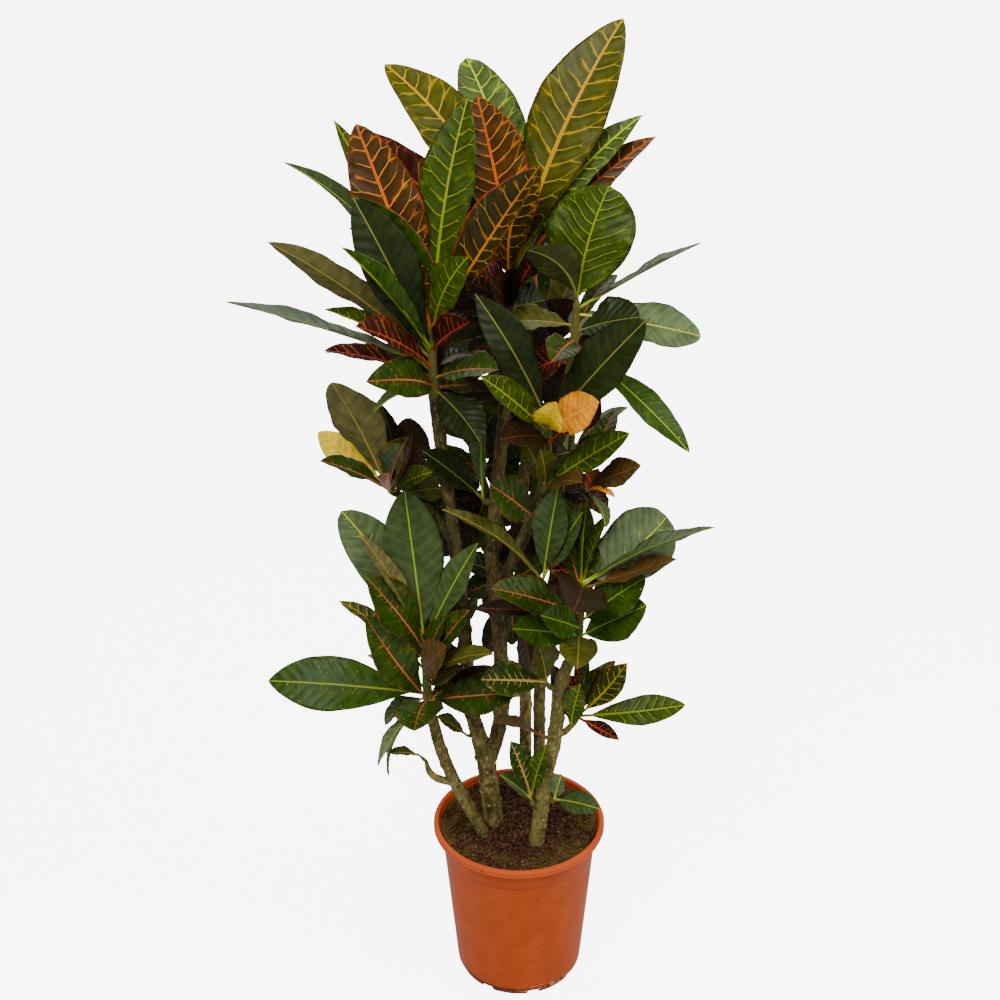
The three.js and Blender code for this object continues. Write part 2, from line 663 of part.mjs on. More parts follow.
const plant = new THREE.Group();
plant.name = "potted_croton";

function addPiece(name, solid, finish) {
  const piece = new THREE.Mesh(geometryOf(solid), new THREE.MeshStandardMaterial(finish));
  piece.name = name;
  plant.add(piece);
}

const barkParts = {};
let soil = makeSoil();
stems.forEach((stem, index) => {
  const rings = stemRings(stem.route);
  const bark = rings.slice(0, stem.bark);
  barkParts[stem.cane] ??= [];
  barkParts[stem.cane].push(skin(bark));
  if (stem.route[0][2] < SOIL.level) {
    const hole = stem.route.slice(0, 3).map(([x, y, z, radius]) => (
      [x, y, z - HOLE_GAP, radius + HOLE_GAP]
    ));
    soil = soil.subtract(skin(stemRings(hole)));
  }
  const away = tangentAt(stem.route, stem.bark - 1).multiplyScalar(GAP);
  const green = rings.slice(stem.bark - 1);
  green[0] = green[0].map((point) => point.clone().add(away));
  addPiece(stem.shoot, joined([skin(green), ...shootLeaves(stem, 101 + index)]), FINISH.shoot);
});
for (const [name, parts] of Object.entries(barkParts)) {
  addPiece(name, joined(parts), FINISH.cane);
}
addPiece("soil", soil, FINISH.soil);
addPiece("pot", makePot(), FINISH.pot);

export default plant;
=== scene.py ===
from math import cos, pi, radians, sin

import bpy
import numpy as np
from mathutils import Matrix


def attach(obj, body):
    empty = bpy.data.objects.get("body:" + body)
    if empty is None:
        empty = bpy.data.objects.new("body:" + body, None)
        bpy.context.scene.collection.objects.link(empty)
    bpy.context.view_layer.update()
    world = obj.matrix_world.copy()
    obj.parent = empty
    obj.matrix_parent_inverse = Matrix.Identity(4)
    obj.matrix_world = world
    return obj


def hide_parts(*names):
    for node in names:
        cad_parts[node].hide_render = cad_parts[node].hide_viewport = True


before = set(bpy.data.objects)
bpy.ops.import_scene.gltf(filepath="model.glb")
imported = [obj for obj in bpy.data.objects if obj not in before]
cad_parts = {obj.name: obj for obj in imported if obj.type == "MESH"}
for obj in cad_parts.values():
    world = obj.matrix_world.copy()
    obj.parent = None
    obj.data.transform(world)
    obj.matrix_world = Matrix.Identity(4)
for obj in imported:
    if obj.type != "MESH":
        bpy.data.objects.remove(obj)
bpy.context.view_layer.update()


# ---------- camera ----------
# The plant is seen from the front, from a little above its top, looking down by 25 degrees.
# The picture's centre lies slightly left of the pot's axis.
camera_data = bpy.data.cameras.new("camera")
camera_data.sensor_width = 36
camera_data.lens = 54
camera_data.shift_x = -0.019
camera = bpy.data.objects.new("camera", camera_data)
camera.location = (0, -1.5, 1.359)
camera.rotation_euler = (radians(90 - 25.4), 0, 0)
bpy.context.collection.objects.link(camera)
bpy.context.scene.camera = camera


# ---------- studio ----------
# A plain white floor and surround that look overexposed to the camera, as on a light table. Three
# large soft boxes light the plant: one high in front, one on the right and a weaker one behind.
def soft_box(name, place, turn, size, power):
    """A round lamp, placed in metres, turned in degrees and with its power in watts."""
    lamp = bpy.data.lights.new(name, "AREA")
    lamp.shape = "DISK"
    lamp.size = size
    lamp.energy = power
    box = bpy.data.objects.new(name, lamp)
    box.location = place
    box.rotation_euler = [radians(angle) for angle in turn]
    bpy.context.collection.objects.link(box)


soft_box("front_box", (-0.5, -1.4, 2.4), (38, 0, -20), 1.3, 52)
soft_box("right_box", (1.5, -0.6, 1.7), (52, 0, 68), 1.2, 22)
soft_box("back_box", (-0.3, 1.5, 2.2), (-42, 0, 11), 1.4, 20)


class Value:
    """One output of a material's node. Adding, subtracting and multiplying make maths nodes."""

    def __init__(self, socket):
        self.socket = socket
        self.tree = socket.id_data

    def __add__(self, other):
        return maths("ADD", self, other)

    def __sub__(self, other):
        return maths("SUBTRACT", self, other)

    def __rsub__(self, other):
        return maths("SUBTRACT", other, self)

    def __mul__(self, other):
        return maths("MULTIPLY", self, other)

    __radd__ = __add__
    __rmul__ = __mul__


def feed(made, inputs):
    """Links each value to a node's input, or sets the input to a plain number or colour."""
    for name, value in inputs.items():
        if isinstance(value, Value):
            value.tree.links.new(value.socket, made.inputs[name])
        else:
            made.inputs[name].default_value = value


def node(tree, kind, output, inputs, **settings):
    """One output of a new node with these settings and inputs."""
    made = tree.nodes.new("ShaderNode" + kind)
    for name, setting in settings.items():
        setattr(made, name, setting)
    feed(made, inputs)
    return Value(made.outputs[output])


def maths(operation, *values):
    """A maths node on values and plain numbers."""
    tree = next(value.tree for value in values if isinstance(value, Value))
    return node(tree, "Math", 0, dict(enumerate(values)), operation=operation)


def seen_only(tree, base, extra):
    """A strength of "base", with "extra" more where the camera looks straight at it."""
    return node(tree, "LightPath", "Is Camera Ray", {}) * extra + base


world = bpy.data.worlds.new("surround")
world.use_nodes = True
background = world.node_tree.nodes["Background"]
feed(background, {"Color": (1, 1, 1, 1), "Strength": seen_only(world.node_tree, 0.42, 7.6)})
bpy.context.scene.world = world

bpy.ops.mesh.primitive_plane_add(size=40, location=(0, 0, 0))
floor = bpy.context.object
floor.name = "floor"
paper = bpy.data.materials.new("floor_paper")
paper.use_nodes = True
sheet = paper.node_tree.nodes["Principled BSDF"]
feed(sheet, {"Base Color": (0.9, 0.9, 0.9, 1), "Roughness": 0.9, "Emission Color": (1, 1, 1, 1),
             "Emission Strength": seen_only(paper.node_tree, 0, 6.6)})
floor.data.materials.append(paper)


# ---------- pot ----------
# A round nursery pot moulded in terracotta-coloured plastic, with a rolled rim, a faint step
# 34 mm under the rim's top and a recessed foot, whose radial notches let the water out.
def linear(red, green, blue):
    """A colour of 0 to 255 as shown on a screen, as the shader's linear values."""
    shown = np.array([red, green, blue]) / 255
    return tuple(np.where(shown < 0.04045, shown / 12.92, ((shown + 0.055) / 1.055) ** 2.4)) + (1,)


def step(value, low, high):
    """0 below "low", 1 above "high" and smooth between; falling if "low" is above "high"."""
    return node(value.tree, "MapRange", "Result", {
        "Value": value, "From Min": low, "From Max": high}, interpolation_type="SMOOTHSTEP")


def painted(colour, *coats):
    """A colour under coats of (amount, colour), each of which covers what is below by its amount."""
    below = colour if isinstance(colour, Value) else linear(*colour)
    for amount, coat in coats:
        above = coat if isinstance(coat, Value) else linear(*coat)
        below = node(amount.tree, "Mix", 2, {0: amount, 6: below, 7: above}, data_type="RGBA")
    return below


def cloud(vector, scale, detail, stretch=(1, 1, 1)):
    """Noise around 0.5 on a vector that is first stretched. More detail makes it rougher."""
    place = node(vector.tree, "Mapping", 0, {"Vector": vector, "Scale": stretch})
    return node(vector.tree, "TexNoise", 0, {"Vector": place, "Scale": scale, "Detail": detail})


def parts(vector):
    """The three numbers of a vector."""
    return [node(vector.tree, "SeparateXYZ", axis, {0: vector}) for axis in "XYZ"]


def material(name):
    """A new material, its shader, and where a point is on the piece, in metres."""
    made = bpy.data.materials.new(name)
    made.use_nodes = True
    shader = made.node_tree.nodes["Principled BSDF"]
    return made, shader, node(made.node_tree, "TexCoord", "Object", {})


def surface(shader, colour, roughness, shine, height, depth):
    """Dresses a shader, with a relief of "height" times "depth" metres."""
    relief = node(shader.id_data, "Bump", 0, {"Height": height, "Distance": depth})
    feed(shader, {"Base Color": colour, "Roughness": roughness, "Specular IOR Level": shine,
                  "Normal": relief})


def grid_faces(rows, columns):
    """Quads between rows of points, where each row closes on itself."""
    row, column = np.meshgrid(np.arange(rows - 1), np.arange(columns), indexing="ij")
    after = (column + 1) % columns
    quads = np.stack([row * columns + column, row * columns + after,
                      (row + 1) * columns + after, (row + 1) * columns + column], -1)
    return quads.reshape(-1, 4)


def piece(name, points, faces, materials):
    """A smooth-shaded object of points in millimetres."""
    mesh = bpy.data.meshes.new(name)
    mesh.from_pydata((points * 0.001).tolist(), [], faces)
    for made in materials:
        mesh.materials.append(made)
    mesh.shade_smooth()
    made_object = bpy.data.objects.new(name, mesh)
    bpy.context.collection.objects.link(made_object)
    return made_object


plastic, shader, here = material("terracotta_plastic")
pot_height = parts(here)[2]
mottle = cloud(here, 38, 4)
streak = cloud(here, 9, 5, (1, 1, 5))
grime_and_shade = cloud(here, 160, 5)
scratches = step(cloud(here, 260, 5, (0.6, 1, 1.6)), 0.56, 0.62)
specks = step(cloud(here, 210, 2), 0.74, 0.78)


def band(low, high, soft):
    """1 between the heights low and high in metres, and 0 past "soft" outside them."""
    return step(pot_height, low - soft, low) * step(pot_height, high + soft, high)


colour = painted(
    (163, 66, 23),
    (step(mottle, 0.35, 0.7), (174, 73, 27)),
    # A painted highlight on the rim, and a dark line painted as the shade under the step.
    (step(pot_height, 0.198, 0.207) * 0.7, (206, 84, 40)),
    (band(0.1796, 0.1806, 0.0006) * 0.75, (112, 40, 8)),
    # Dirt round the foot, with painted shade where the foot is recessed.
    (band(0.002, 0.0105, 0.0025) * step(grime_and_shade, 0.3, 0.52) * 0.85, (58, 28, 10)),
    # Pale scratches above the foot, then dirt on the rim, a thin dark line painted round the rim as the
    # shade of a groove, and dark specks.
    (band(0.007, 0.016, 0.012) * step(streak, 0.5, 0.64) * scratches, (236, 190, 160)),
    (band(0.203, 0.2128, 0.0012) * step(grime_and_shade, 0.6, 0.72) * 0.7, (96, 52, 24)),
    (band(0.2096, 0.2104, 0.0005) * 0.5, (140, 46, 12)),
    (specks * 0.5, (120, 50, 16)),
)
surface(shader, colour, mottle * 0.15 + 0.4, 0.06, cloud(here, 420, 2), 0.00012)

# The profile runs as radius and height from the middle of the underside, over the rim and down
# inside. Where a point of the foot lies in one of eight notches, it is raised to the notch's top.
pot_profile = np.array([
    (0.01, 0), (40, 0), (66, 0), (73.6, 0), (74.9, 1), (74.9, 4.4), (76.2, 6), (78, 8), (78.5, 11),
    (82, 52), (86, 98), (90, 144), (92.8, 178.6), (93.1, 180), (94.1, 181), (94.9, 194),
    (95.3, 196.2), (95.9, 200), (96.6, 204), (97, 204.8), (102.6, 205), (104.4, 205.6), (105, 207),
    (105, 211.8), (104.3, 213.4), (102.8, 214), (100, 214), (98.8, 213.4), (98.4, 212), (96.4, 206),
    (94.5, 202), (94.2, 196), (77, 12), (75, 9.2), (0.01, 9),
])
pot_sides = 240
notch_pitch = pi / 4
notch_half_width = 6.5
notch_inner_end = 52
notch_top = 5
foot_top = 4.5
pot_radius, pot_level = pot_profile[:, :1], pot_profile[:, 1:]
pot_angle = np.linspace(0, 2 * pi, pot_sides, endpoint=False)
pot_points = np.stack(np.broadcast_arrays(
    pot_radius * np.cos(pot_angle), pot_radius * np.sin(pot_angle), pot_level), -1)
notch_turn = np.abs((pot_angle + 0.21 * notch_pitch) % notch_pitch - notch_pitch / 2)
in_notch = (pot_radius * np.sin(notch_turn) < notch_half_width) & (pot_radius > notch_inner_end)
pot_points[in_notch & (pot_level < foot_top), 2] = notch_top
pot_faces = grid_faces(len(pot_profile), pot_sides).tolist()
pot = piece("pot_body", pot_points.reshape(-1, 3), pot_faces, [plastic])
pot.data.set_sharp_from_angle(angle=radians(50))
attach(pot, "root")
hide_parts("pot")


# ---------- soil ----------
# Dark peat potting soil, filled to between 6 and 7 mm under the rim's top. Crumbs, pale grit and
# bits of fibre lie loose on top, and a thin green film grows near the pot's wall.
soil_draw = np.random.default_rng(4)
soil_columns = 180
soil_level = 207.4
soil_radius = np.concatenate([[0.01], np.linspace(2, 95.8, 60), [94.8, 93.6, 76.5, 74, 0.01]])
soil_angle = np.linspace(0, 2 * pi, soil_columns, endpoint=False)
soil_x = soil_radius[:, None] * np.cos(soil_angle)
soil_y = soil_radius[:, None] * np.sin(soil_angle)
soil_z = np.full(soil_x.shape, soil_level)
# The surface is a sum of 26 sine waves, each lower the shorter it is. The last five rings run
# down inside the pot's wall and over its bottom.
for wave in range(26):
    way = soil_draw.uniform(0, 2 * pi)
    pitch = soil_draw.uniform(0.05, 0.55)
    soil_z += (0.5 / (1 + 3 * pitch)) * np.sin(
        pitch * (soil_x * cos(way) + soil_y * sin(way)) + soil_draw.uniform(0, 2 * pi))
soil_z[-5:] = np.array([204, 196, 14, 9.6, 9.6])[:, None]
soil_points = np.stack([soil_x, soil_y, soil_z], -1).reshape(-1, 3)

# A crumb is a ball of twelve points and twenty triangles, stretched, turned and made uneven.
ball_points = np.array([
    (0, 0, 1), (0.89, 0, 0.45), (0.28, 0.85, 0.45), (-0.72, 0.53, 0.45), (-0.72, -0.53, 0.45),
    (0.28, -0.85, 0.45), (0.72, 0.53, -0.45), (-0.28, 0.85, -0.45), (-0.89, 0, -0.45),
    (-0.28, -0.85, -0.45), (0.72, -0.53, -0.45), (0, 0, -1),
])
ball_faces = []
for corner in range(1, 6):
    after = corner % 5 + 1
    ball_faces += [(0, corner, after), (corner, corner + 5, after),
                   (corner + 5, after + 5, after), (11, after + 5, corner + 5)]
crumbs = 2600
crumb_radius = 92 * np.sqrt(soil_draw.uniform(0, 1, crumbs))
crumb_turn = soil_draw.uniform(0, 2 * pi, crumbs)
pale = soil_draw.uniform(0, 1, crumbs) < 0.1
fibre = soil_draw.uniform(0, 1, crumbs) < 0.08
crumb_size = soil_draw.uniform(0.5, 1, (crumbs, 3)) ** 2 * 2.6
crumb_size[pale] *= 0.42
crumb_size[fibre] = np.array([0.35, 0.35, 3.8])
crumb_spin = np.linalg.qr(soil_draw.normal(size=(crumbs, 3, 3)))[0]
crumb_points = ball_points * soil_draw.uniform(0.8, 1.2, (crumbs, len(ball_points), 1))
crumb_points = (crumb_points * crumb_size[:, None]) @ crumb_spin
crumb_points[fibre, :, 2] *= 0.3
crumb_level = soil_level + 0.7 + soil_draw.uniform(-0.6, 0.9, crumbs)
crumb_points += np.stack([
    crumb_radius * np.cos(crumb_turn), crumb_radius * np.sin(crumb_turn), crumb_level], -1)[:, None]
crumb_faces = np.array(ball_faces) + len(soil_points) + 12 * np.arange(crumbs)[:, None, None]


def mark(made, name, values):
    """Keeps a number, a vector or a colour for each point of a piece, for its material to read."""
    values = np.asarray(values)
    kind, field = {1: ("FLOAT", "value"), 3: ("FLOAT_VECTOR", "vector"),
                   4: ("FLOAT_COLOR", "color")}[values.size // len(values)]
    made.data.attributes.new(name, kind, "POINT").data.foreach_set(field, values.ravel())


def read(shader, name, output):
    """What was kept for each point under a name."""
    return node(shader.id_data, "Attribute", output, {}, attribute_name=name)


peat, shader, here = material("peat_soil")
grain = cloud(here, 260, 6)
flat = node(here.tree, "Mapping", 0, {"Vector": here, "Scale": (1, 1, 0)})
from_axis = node(flat.tree, "VectorMath", "Value", {0: flat}, operation="LENGTH")
film = step(from_axis, 0.06, 0.09) * step(cloud(here, 30, 3), 0.38, 0.56)
colour = painted(
    (37, 21, 13),
    (step(grain, 0.35, 0.7), (94, 62, 40)),
    (film * 0.75, (84, 70, 30)),
    (read(shader, "grit", "Fac"), (150, 128, 96)),
)
surface(shader, colour, 0.95, 0.08, grain, 0.002)
soil_faces = grid_faces(len(soil_radius), soil_columns)[:, ::-1].tolist()
soil_faces += crumb_faces.reshape(-1, 3).tolist()
soil = piece("potting_soil", np.vstack([soil_points, crumb_points.reshape(-1, 3)]), soil_faces, [peat])
grit = np.repeat(np.where(fibre, 0.6, np.where(pale, 1, 0)), len(ball_points))
mark(soil, "grit", np.concatenate([np.zeros(len(soil_points)), grit]))
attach(soil, "root")
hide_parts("soil")


# ---------- canes ----------
# Five woody stems stand in the soil and fork into branches. The bark is grey-brown with pale
# pores, and a swelling with a leaf scar marks every place where an old leaf has dropped.
def unit(vectors):
    """The vectors at a length of 1."""
    return vectors / np.linalg.norm(vectors, axis=-1, keepdims=True)


def lengths(points):
    """The length of a line of points up to each of them."""
    return np.concatenate([[0], np.cumsum(np.linalg.norm(np.diff(points, axis=0), axis=1))])


def at(places, runs, points):
    """Points at other lengths along a line."""
    return np.stack([np.interp(places, runs, points[:, k]) for k in range(points.shape[1])], -1)


def eased(route, step_length, ease):
    """Points along a route of x, y, z, radius, with its corners rounded over "ease" mm.

    The route is cut into even steps and averaged by a raised cosine. Past its ends it carries on
    as its own reflection, so that the ends stay where they are.
    """
    route = np.array(route, float)
    runs = lengths(route[:, :3])
    count = max(int(runs[-1] / step_length), 6)
    points = at(np.linspace(0, runs[-1], count), runs, route)
    half = min(max(int(ease / step_length), 1), count // 2 - 1)
    weights = np.hanning(2 * half + 3)[1:-1]
    before = 2 * points[0] - points[half:0:-1]
    after = 2 * points[-1] - points[-2:-half - 2:-1]
    padded = np.vstack([before, points, after])
    return np.stack([np.convolve(padded[:, k], weights / weights.sum(), "valid") for k in range(4)], -1)


def tube(points, sides, swell=0, seed=0):
    """Rings square to a line of x, y, z, radius, and how much of a scar each point is.

    Scars sit every 19 mm, give or take 3, each turned by 2.4 (137.5 degrees) from the one below.
    Each swells the ring by a bell curve 4 mm wide along and 0.75 wide around, over a low one
    2.2 mm wide that goes all round, and two sine waves make the whole stem a little uneven.
    """
    scar_pitch, scar_turn = 19, 2.4
    centre, radius = points[:, :3], points[:, 3:]
    along = unit(np.gradient(centre, axis=0))
    front = unit(np.cross(along, [1, 0, 0]))
    side = np.cross(front, along)
    run = lengths(centre)[:, None]
    angle = np.linspace(0, 2 * pi, sides, endpoint=False)
    number = np.round(run / scar_pitch)
    off = run - number * scar_pitch + 3 * np.sin(number * 7.3 + seed)
    turn = (angle - (number * scar_turn + seed) + pi) % (2 * pi) - pi
    scar = np.exp(-(off / 4) ** 2 - (turn / 0.75) ** 2)
    ring = np.exp(-(off / 2.2) ** 2) * 0.35
    wobble = 0.05 * np.sin(run / 13 + 2 * angle + seed) + 0.03 * np.sin(run / 5 + 3 * angle)
    reach = radius * (1 + swell * (scar + ring + wobble))
    rings = (centre[:, None] + side[:, None] * (reach * np.cos(angle))[..., None]
             + front[:, None] * (reach * np.sin(angle))[..., None])
    return rings, scar


def closed_faces(rings, start=0):
    """The quads between rings whose points count from "start", then a face over each end."""
    rows, sides = rings.shape[:2]
    ends = [list(range(sides))[::-1], list(range((rows - 1) * sides, rows * sides))]
    return [[start + index for index in face] for face in grid_faces(rows, sides).tolist() + ends]


bark, shader, here = material("bark")
rough = cloud(here, 90, 6, (1, 1, 0.45))
pores = cloud(here, 330, 2, (1, 1, 0.6))
scarred = read(shader, "scar", "Fac")
colour = painted(
    (42, 33, 15),
    (step(rough, 0.36, 0.64), (134, 116, 66)),
    (step(cloud(here, 24, 4), 0.45, 0.62) * 0.6, (66, 60, 24)),
    # Young bark is greener. Pores are pale, with dark pits among them.
    (read(shader, "green", "Fac"), (138, 128, 66)),
    (step(pores, 0.6, 0.68) * 0.6, (176, 166, 112)),
    (step(pores, 0.46, 0.38) * 0.3, (36, 30, 14)),
    # Among the leaves the bark is painted darker, as painted shade from the leaves above. A scar is dark at
    # its edge and pale inside.
    (step(parts(here)[2], 0.3, 0.48) * 0.5, (42, 34, 18)),
    (step(scarred, 0.5, 0.8) * 0.65, (54, 42, 22)),
    (step(scarred, 0.85, 0.97), (84, 72, 44)),
)
surface(shader, colour, 0.82, 0.12, rough + pores * 0.5, 0.0016)


def make_cane(name, replaced, routes, green):
    """The branches of one cane as one piece. "green" says how young its bark is."""
    points, faces, scars = np.empty((0, 3)), [], []
    for index, route in enumerate(routes):
        line = eased(route, step_length=3, ease=16)
        rings, scar = tube(line, sides=28, swell=0.16, seed=1.7 * index + len(name))
        faces += closed_faces(rings, len(points))
        points = np.vstack([points, rings.reshape(-1, 3)])
        scars.append(scar.ravel())
    cane = piece(name, points, faces, [bark])
    mark(cane, "scar", np.concatenate(scars))
    mark(cane, "green", np.full(len(points), green))
    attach(cane, "root")
    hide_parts(replaced)
    return routes


left_cane = make_cane("left_woody_cane", "left_cane", [
    [(-42, -25, 120, 7.5), (-42, -25, 207, 7.5), (-60, -28, 250, 7.4), (-80, -31, 299, 7.2),
     (-93, -34, 342, 7), (-99, -35, 375, 6.8), (-104, -36, 398, 6.2)],
    [(-76, -31, 290, 5), (-97, -36, 297, 4.6), (-107, -38, 309, 4), (-109, -39, 325, 2.2)],
], 0.25)
middle_cane = make_cane("middle_woody_cane", "middle_cane", [
    [(-30, 0, 120, 12), (-30, 0, 205, 12), (-36, 0, 260, 11.5), (-40, 0, 300, 11),
     (-52, 0, 351, 9), (-58, 0, 374, 8.6), (-65, 0, 520, 8), (-72, -3, 597, 7.6),
     (-85, -10, 723, 7), (-90, -14, 775, 6.4)],
    [(-39, 0, 290, 9), (-26, 0, 335, 9), (-19, 0, 378, 8.7), (-22, 5, 464, 8.4),
     (-31, 10, 567, 8), (-25, 20, 652, 7.4), (-16, 25, 740, 6.8), (-12, 27, 805, 6)],
    [(-28, 9, 530, 6), (-14, -2, 556, 6.8), (8, -5, 610, 6.4), (22, -10, 651, 6.2),
     (44, -10, 746, 6), (54, -10, 800, 5.6)],
    [(31, -10, 690, 4.5), (31, -24, 712, 4.2)],
    [(24, -10, 660, 4), (27, -24, 668, 3.8)],
    [(14, -7, 628, 4), (16, -18, 630, 3.4)],
    [(-26, 18, 640, 4), (-35, 7, 641, 3.6)],
    [(23, -10, 655, 4.5), (50, -16, 660, 4.2), (64, -19, 665, 4)],
    [(-14, -2, 556, 4.5), (6, -20, 547, 4.2), (20, -29, 552, 4)],
    [(-71, -3, 590, 5), (-98, 8, 632, 4.4), (-126, -8, 656, 4)],
    [(-52, 0, 343, 3), (-58, -9, 341, 2.4)],
], 0.1)
right_cane = make_cane("right_woody_cane", "right_cane", [
    [(21, -40, 120, 9), (21, -40, 203, 9), (31, -40, 306, 8.8), (41, -40, 352, 8.6),
     (45, -40, 396, 8.4), (46, -40, 422, 8.2), (51, -40, 447, 7.6), (61, -40, 470, 5.5),
     (67, -40, 487, 4.6)],
    [(42, -40, 362, 4.5), (53, -44, 370, 4)],
    [(46, -40, 425, 4), (36, -41, 429, 3.6)],
    [(42, -40, 364, 3), (33, -46, 364, 2.5)],
    [(27, -40, 262, 4), (18, -46, 268, 3.6)],
    [(28, -40, 274, 4), (38, -46, 275, 3.6)],
], 0.45)
back_cane = make_cane("back_woody_cane", "back_cane", [
    [(8, 52, 120, 7.5), (8, 52, 205, 7.5), (8, 52, 349, 7.4), (5, 53, 430, 7.2),
     (2, 58, 520, 7), (5, 64, 640, 6.6), (14, 80, 720, 6)],
    [(2, 58, 520, 5.5), (-20, 80, 570, 5.2), (-38, 98, 610, 5)],
    [(2, 56, 500, 4.5), (-6, 44, 507, 4)],
], 0.15)
far_cane = make_cane("far_woody_cane", "far_cane", [
    [(26, 66, 120, 7.5), (26, 66, 205, 7.5), (25, 66, 349, 7.4), (30, 70, 440, 7),
     (48, 88, 540, 6.4), (58, 98, 620, 6)],
], 0.15)


# ---------- leafy shoots ----------
# Each branch ends in a green shoot that carries its leaves in a spiral on short stalks. The
# leaves are leathery, glossy on top and dull below, waved at the margin, with a pale midrib.
# They open green and gold and turn bronze, dark green and grey-green as they age.
def leaf_material(name, under):
    """The upper or lower face of a leaf.

    "place" holds the distances across and along the blade in mm, and how flecked the leaf is.
    "share" holds the same two as shares of the half width and the length, and the veins' spacing.
    The alpha of "body", "vein" and "rim" says how many side veins are coloured, how far out they
    run, and how red the margin is.
    A side vein is a line where along - 0.5 across - 0.25 across out is a whole number of
    spacings, with a slow drift and a shift between the blade's halves. Past 0.62 of the half
    width it forks to meet its neighbours. A draw for each vein says whether it is coloured and
    how far out, and it turns yellow-green on the way. The midrib narrows towards the tip, and is
    wider where the side veins are strong. The blade swells between the side veins.
    """
    made, shader, _ = material(name)
    place, share = read(shader, "place", "Vector"), read(shader, "share", "Vector")
    body, ribs = read(shader, "body", "Color"), read(shader, "body", "Alpha")
    vein, reach = read(shader, "vein", "Color"), read(shader, "vein", "Alpha")
    rim, red = read(shader, "rim", "Color"), read(shader, "rim", "Alpha")
    across, along, flecked = parts(place)
    side_share, length_share, spacing = parts(share)
    half = maths("SIGN", across)
    from_rib = maths("ABSOLUTE", across)
    out = maths("ABSOLUTE", side_share)
    drift = cloud(place, 0.03, 2)
    fine = cloud(place, 0.6, 4)
    broad = cloud(place, 0.07, 3)

    lean = along - 0.5 * from_rib - 0.25 * from_rib * out + 10 * drift + 2.3 * half
    turns = maths("DIVIDE", lean, spacing)
    saw = maths("ABSOLUTE", maths("FRACT", turns) - 0.5)
    luck = node(shader.id_data, "TexWhiteNoise", "Value", {"W": 31.7 * half + maths("FLOOR", turns)},
                noise_dimensions="1D")
    fork = 1.15 * maths("MAXIMUM", out - 0.62, 0)
    gap = maths("ABSOLUTE", saw - fork) * spacing
    width = spacing * (0.03 - 0.024 * out) * (0.6 + 0.7 * luck) * (0.3 + ribs)
    fade = reach * (luck + 0.45) - out + 0.9 * (fine - 0.5)
    line = (1 - step(gap, width, width + 0.4)) * step(fade, -0.06, 0.06) * step(ribs - luck, -0.1, 0.1)
    rib_width = spacing * (1 + 0.9 * ribs * ribs) * (0.075 - 0.055 * length_share) + 0.1
    groove = (1 - step(from_rib, 0.15, 0.45)) * step(red, 0.6, 0.7)
    rib = (1 - step(from_rib, rib_width, rib_width + 0.4)) * (1 - 0.6 * groove)
    quilt = -0.5 * maths("COSINE", 2 * pi * saw) * out * (1.15 - out)

    def toned(value):
        """The body's colour, made darker or lighter."""
        return node(shader.id_data, "HueSaturation", 0, {"Color": body, "Value": value})

    colour = painted(toned(0.6), (step(broad, 0.3, 0.7), body))
    if under:
        colour = painted(colour, (0.35 * line, vein), (0.5 * rib, vein))
        surface(shader, colour, 0.65, 0.08, quilt + 0.5 * line + 0.1 * fine, 0.0014)
    else:
        glow = (1 - step(gap, 0, 3.6)) * step(broad, 0.5, 0.7) * 0.5 * ribs * ribs
        dots = step(cloud(place, 0.5, 1, (0.5, 1.4, 1)), 0.72, 0.76)
        colour = painted(
            colour,
            # Painted highlight: the swells between the side veins are painted lighter.
            (0.2 * step(quilt, 0, 0.15), toned(1.9)),
            (glow, vein),
            (line, painted(vein, (0.6 * out, (168, 164, 24)))),
            (dots * flecked, (150, 165, 80)),
            (rib, vein),
            (step(out + 0.05 * fine, 0.97, 0.995) * red, rim),
        )
        height = quilt - 0.5 * rib - 0.25 * line + 0.1 * fine
        surface(shader, colour, 0.3 + 0.2 * broad, 0.14, height, 0.0014)
    return made


leaf_top = leaf_material("leaf_upper_face", False)
leaf_under = leaf_material("leaf_lower_face", True)
young_stem, shader, here = material("young_stem")
speckle = cloud(here, 300, 3)
colour = painted(
    (66, 78, 24),
    (step(cloud(here, 40, 3), 0.4, 0.65), (92, 84, 34)),
    (step(speckle, 0.6, 0.68), (120, 115, 60)),
)
surface(shader, colour, 0.55, 0.15, speckle, 0.0006)

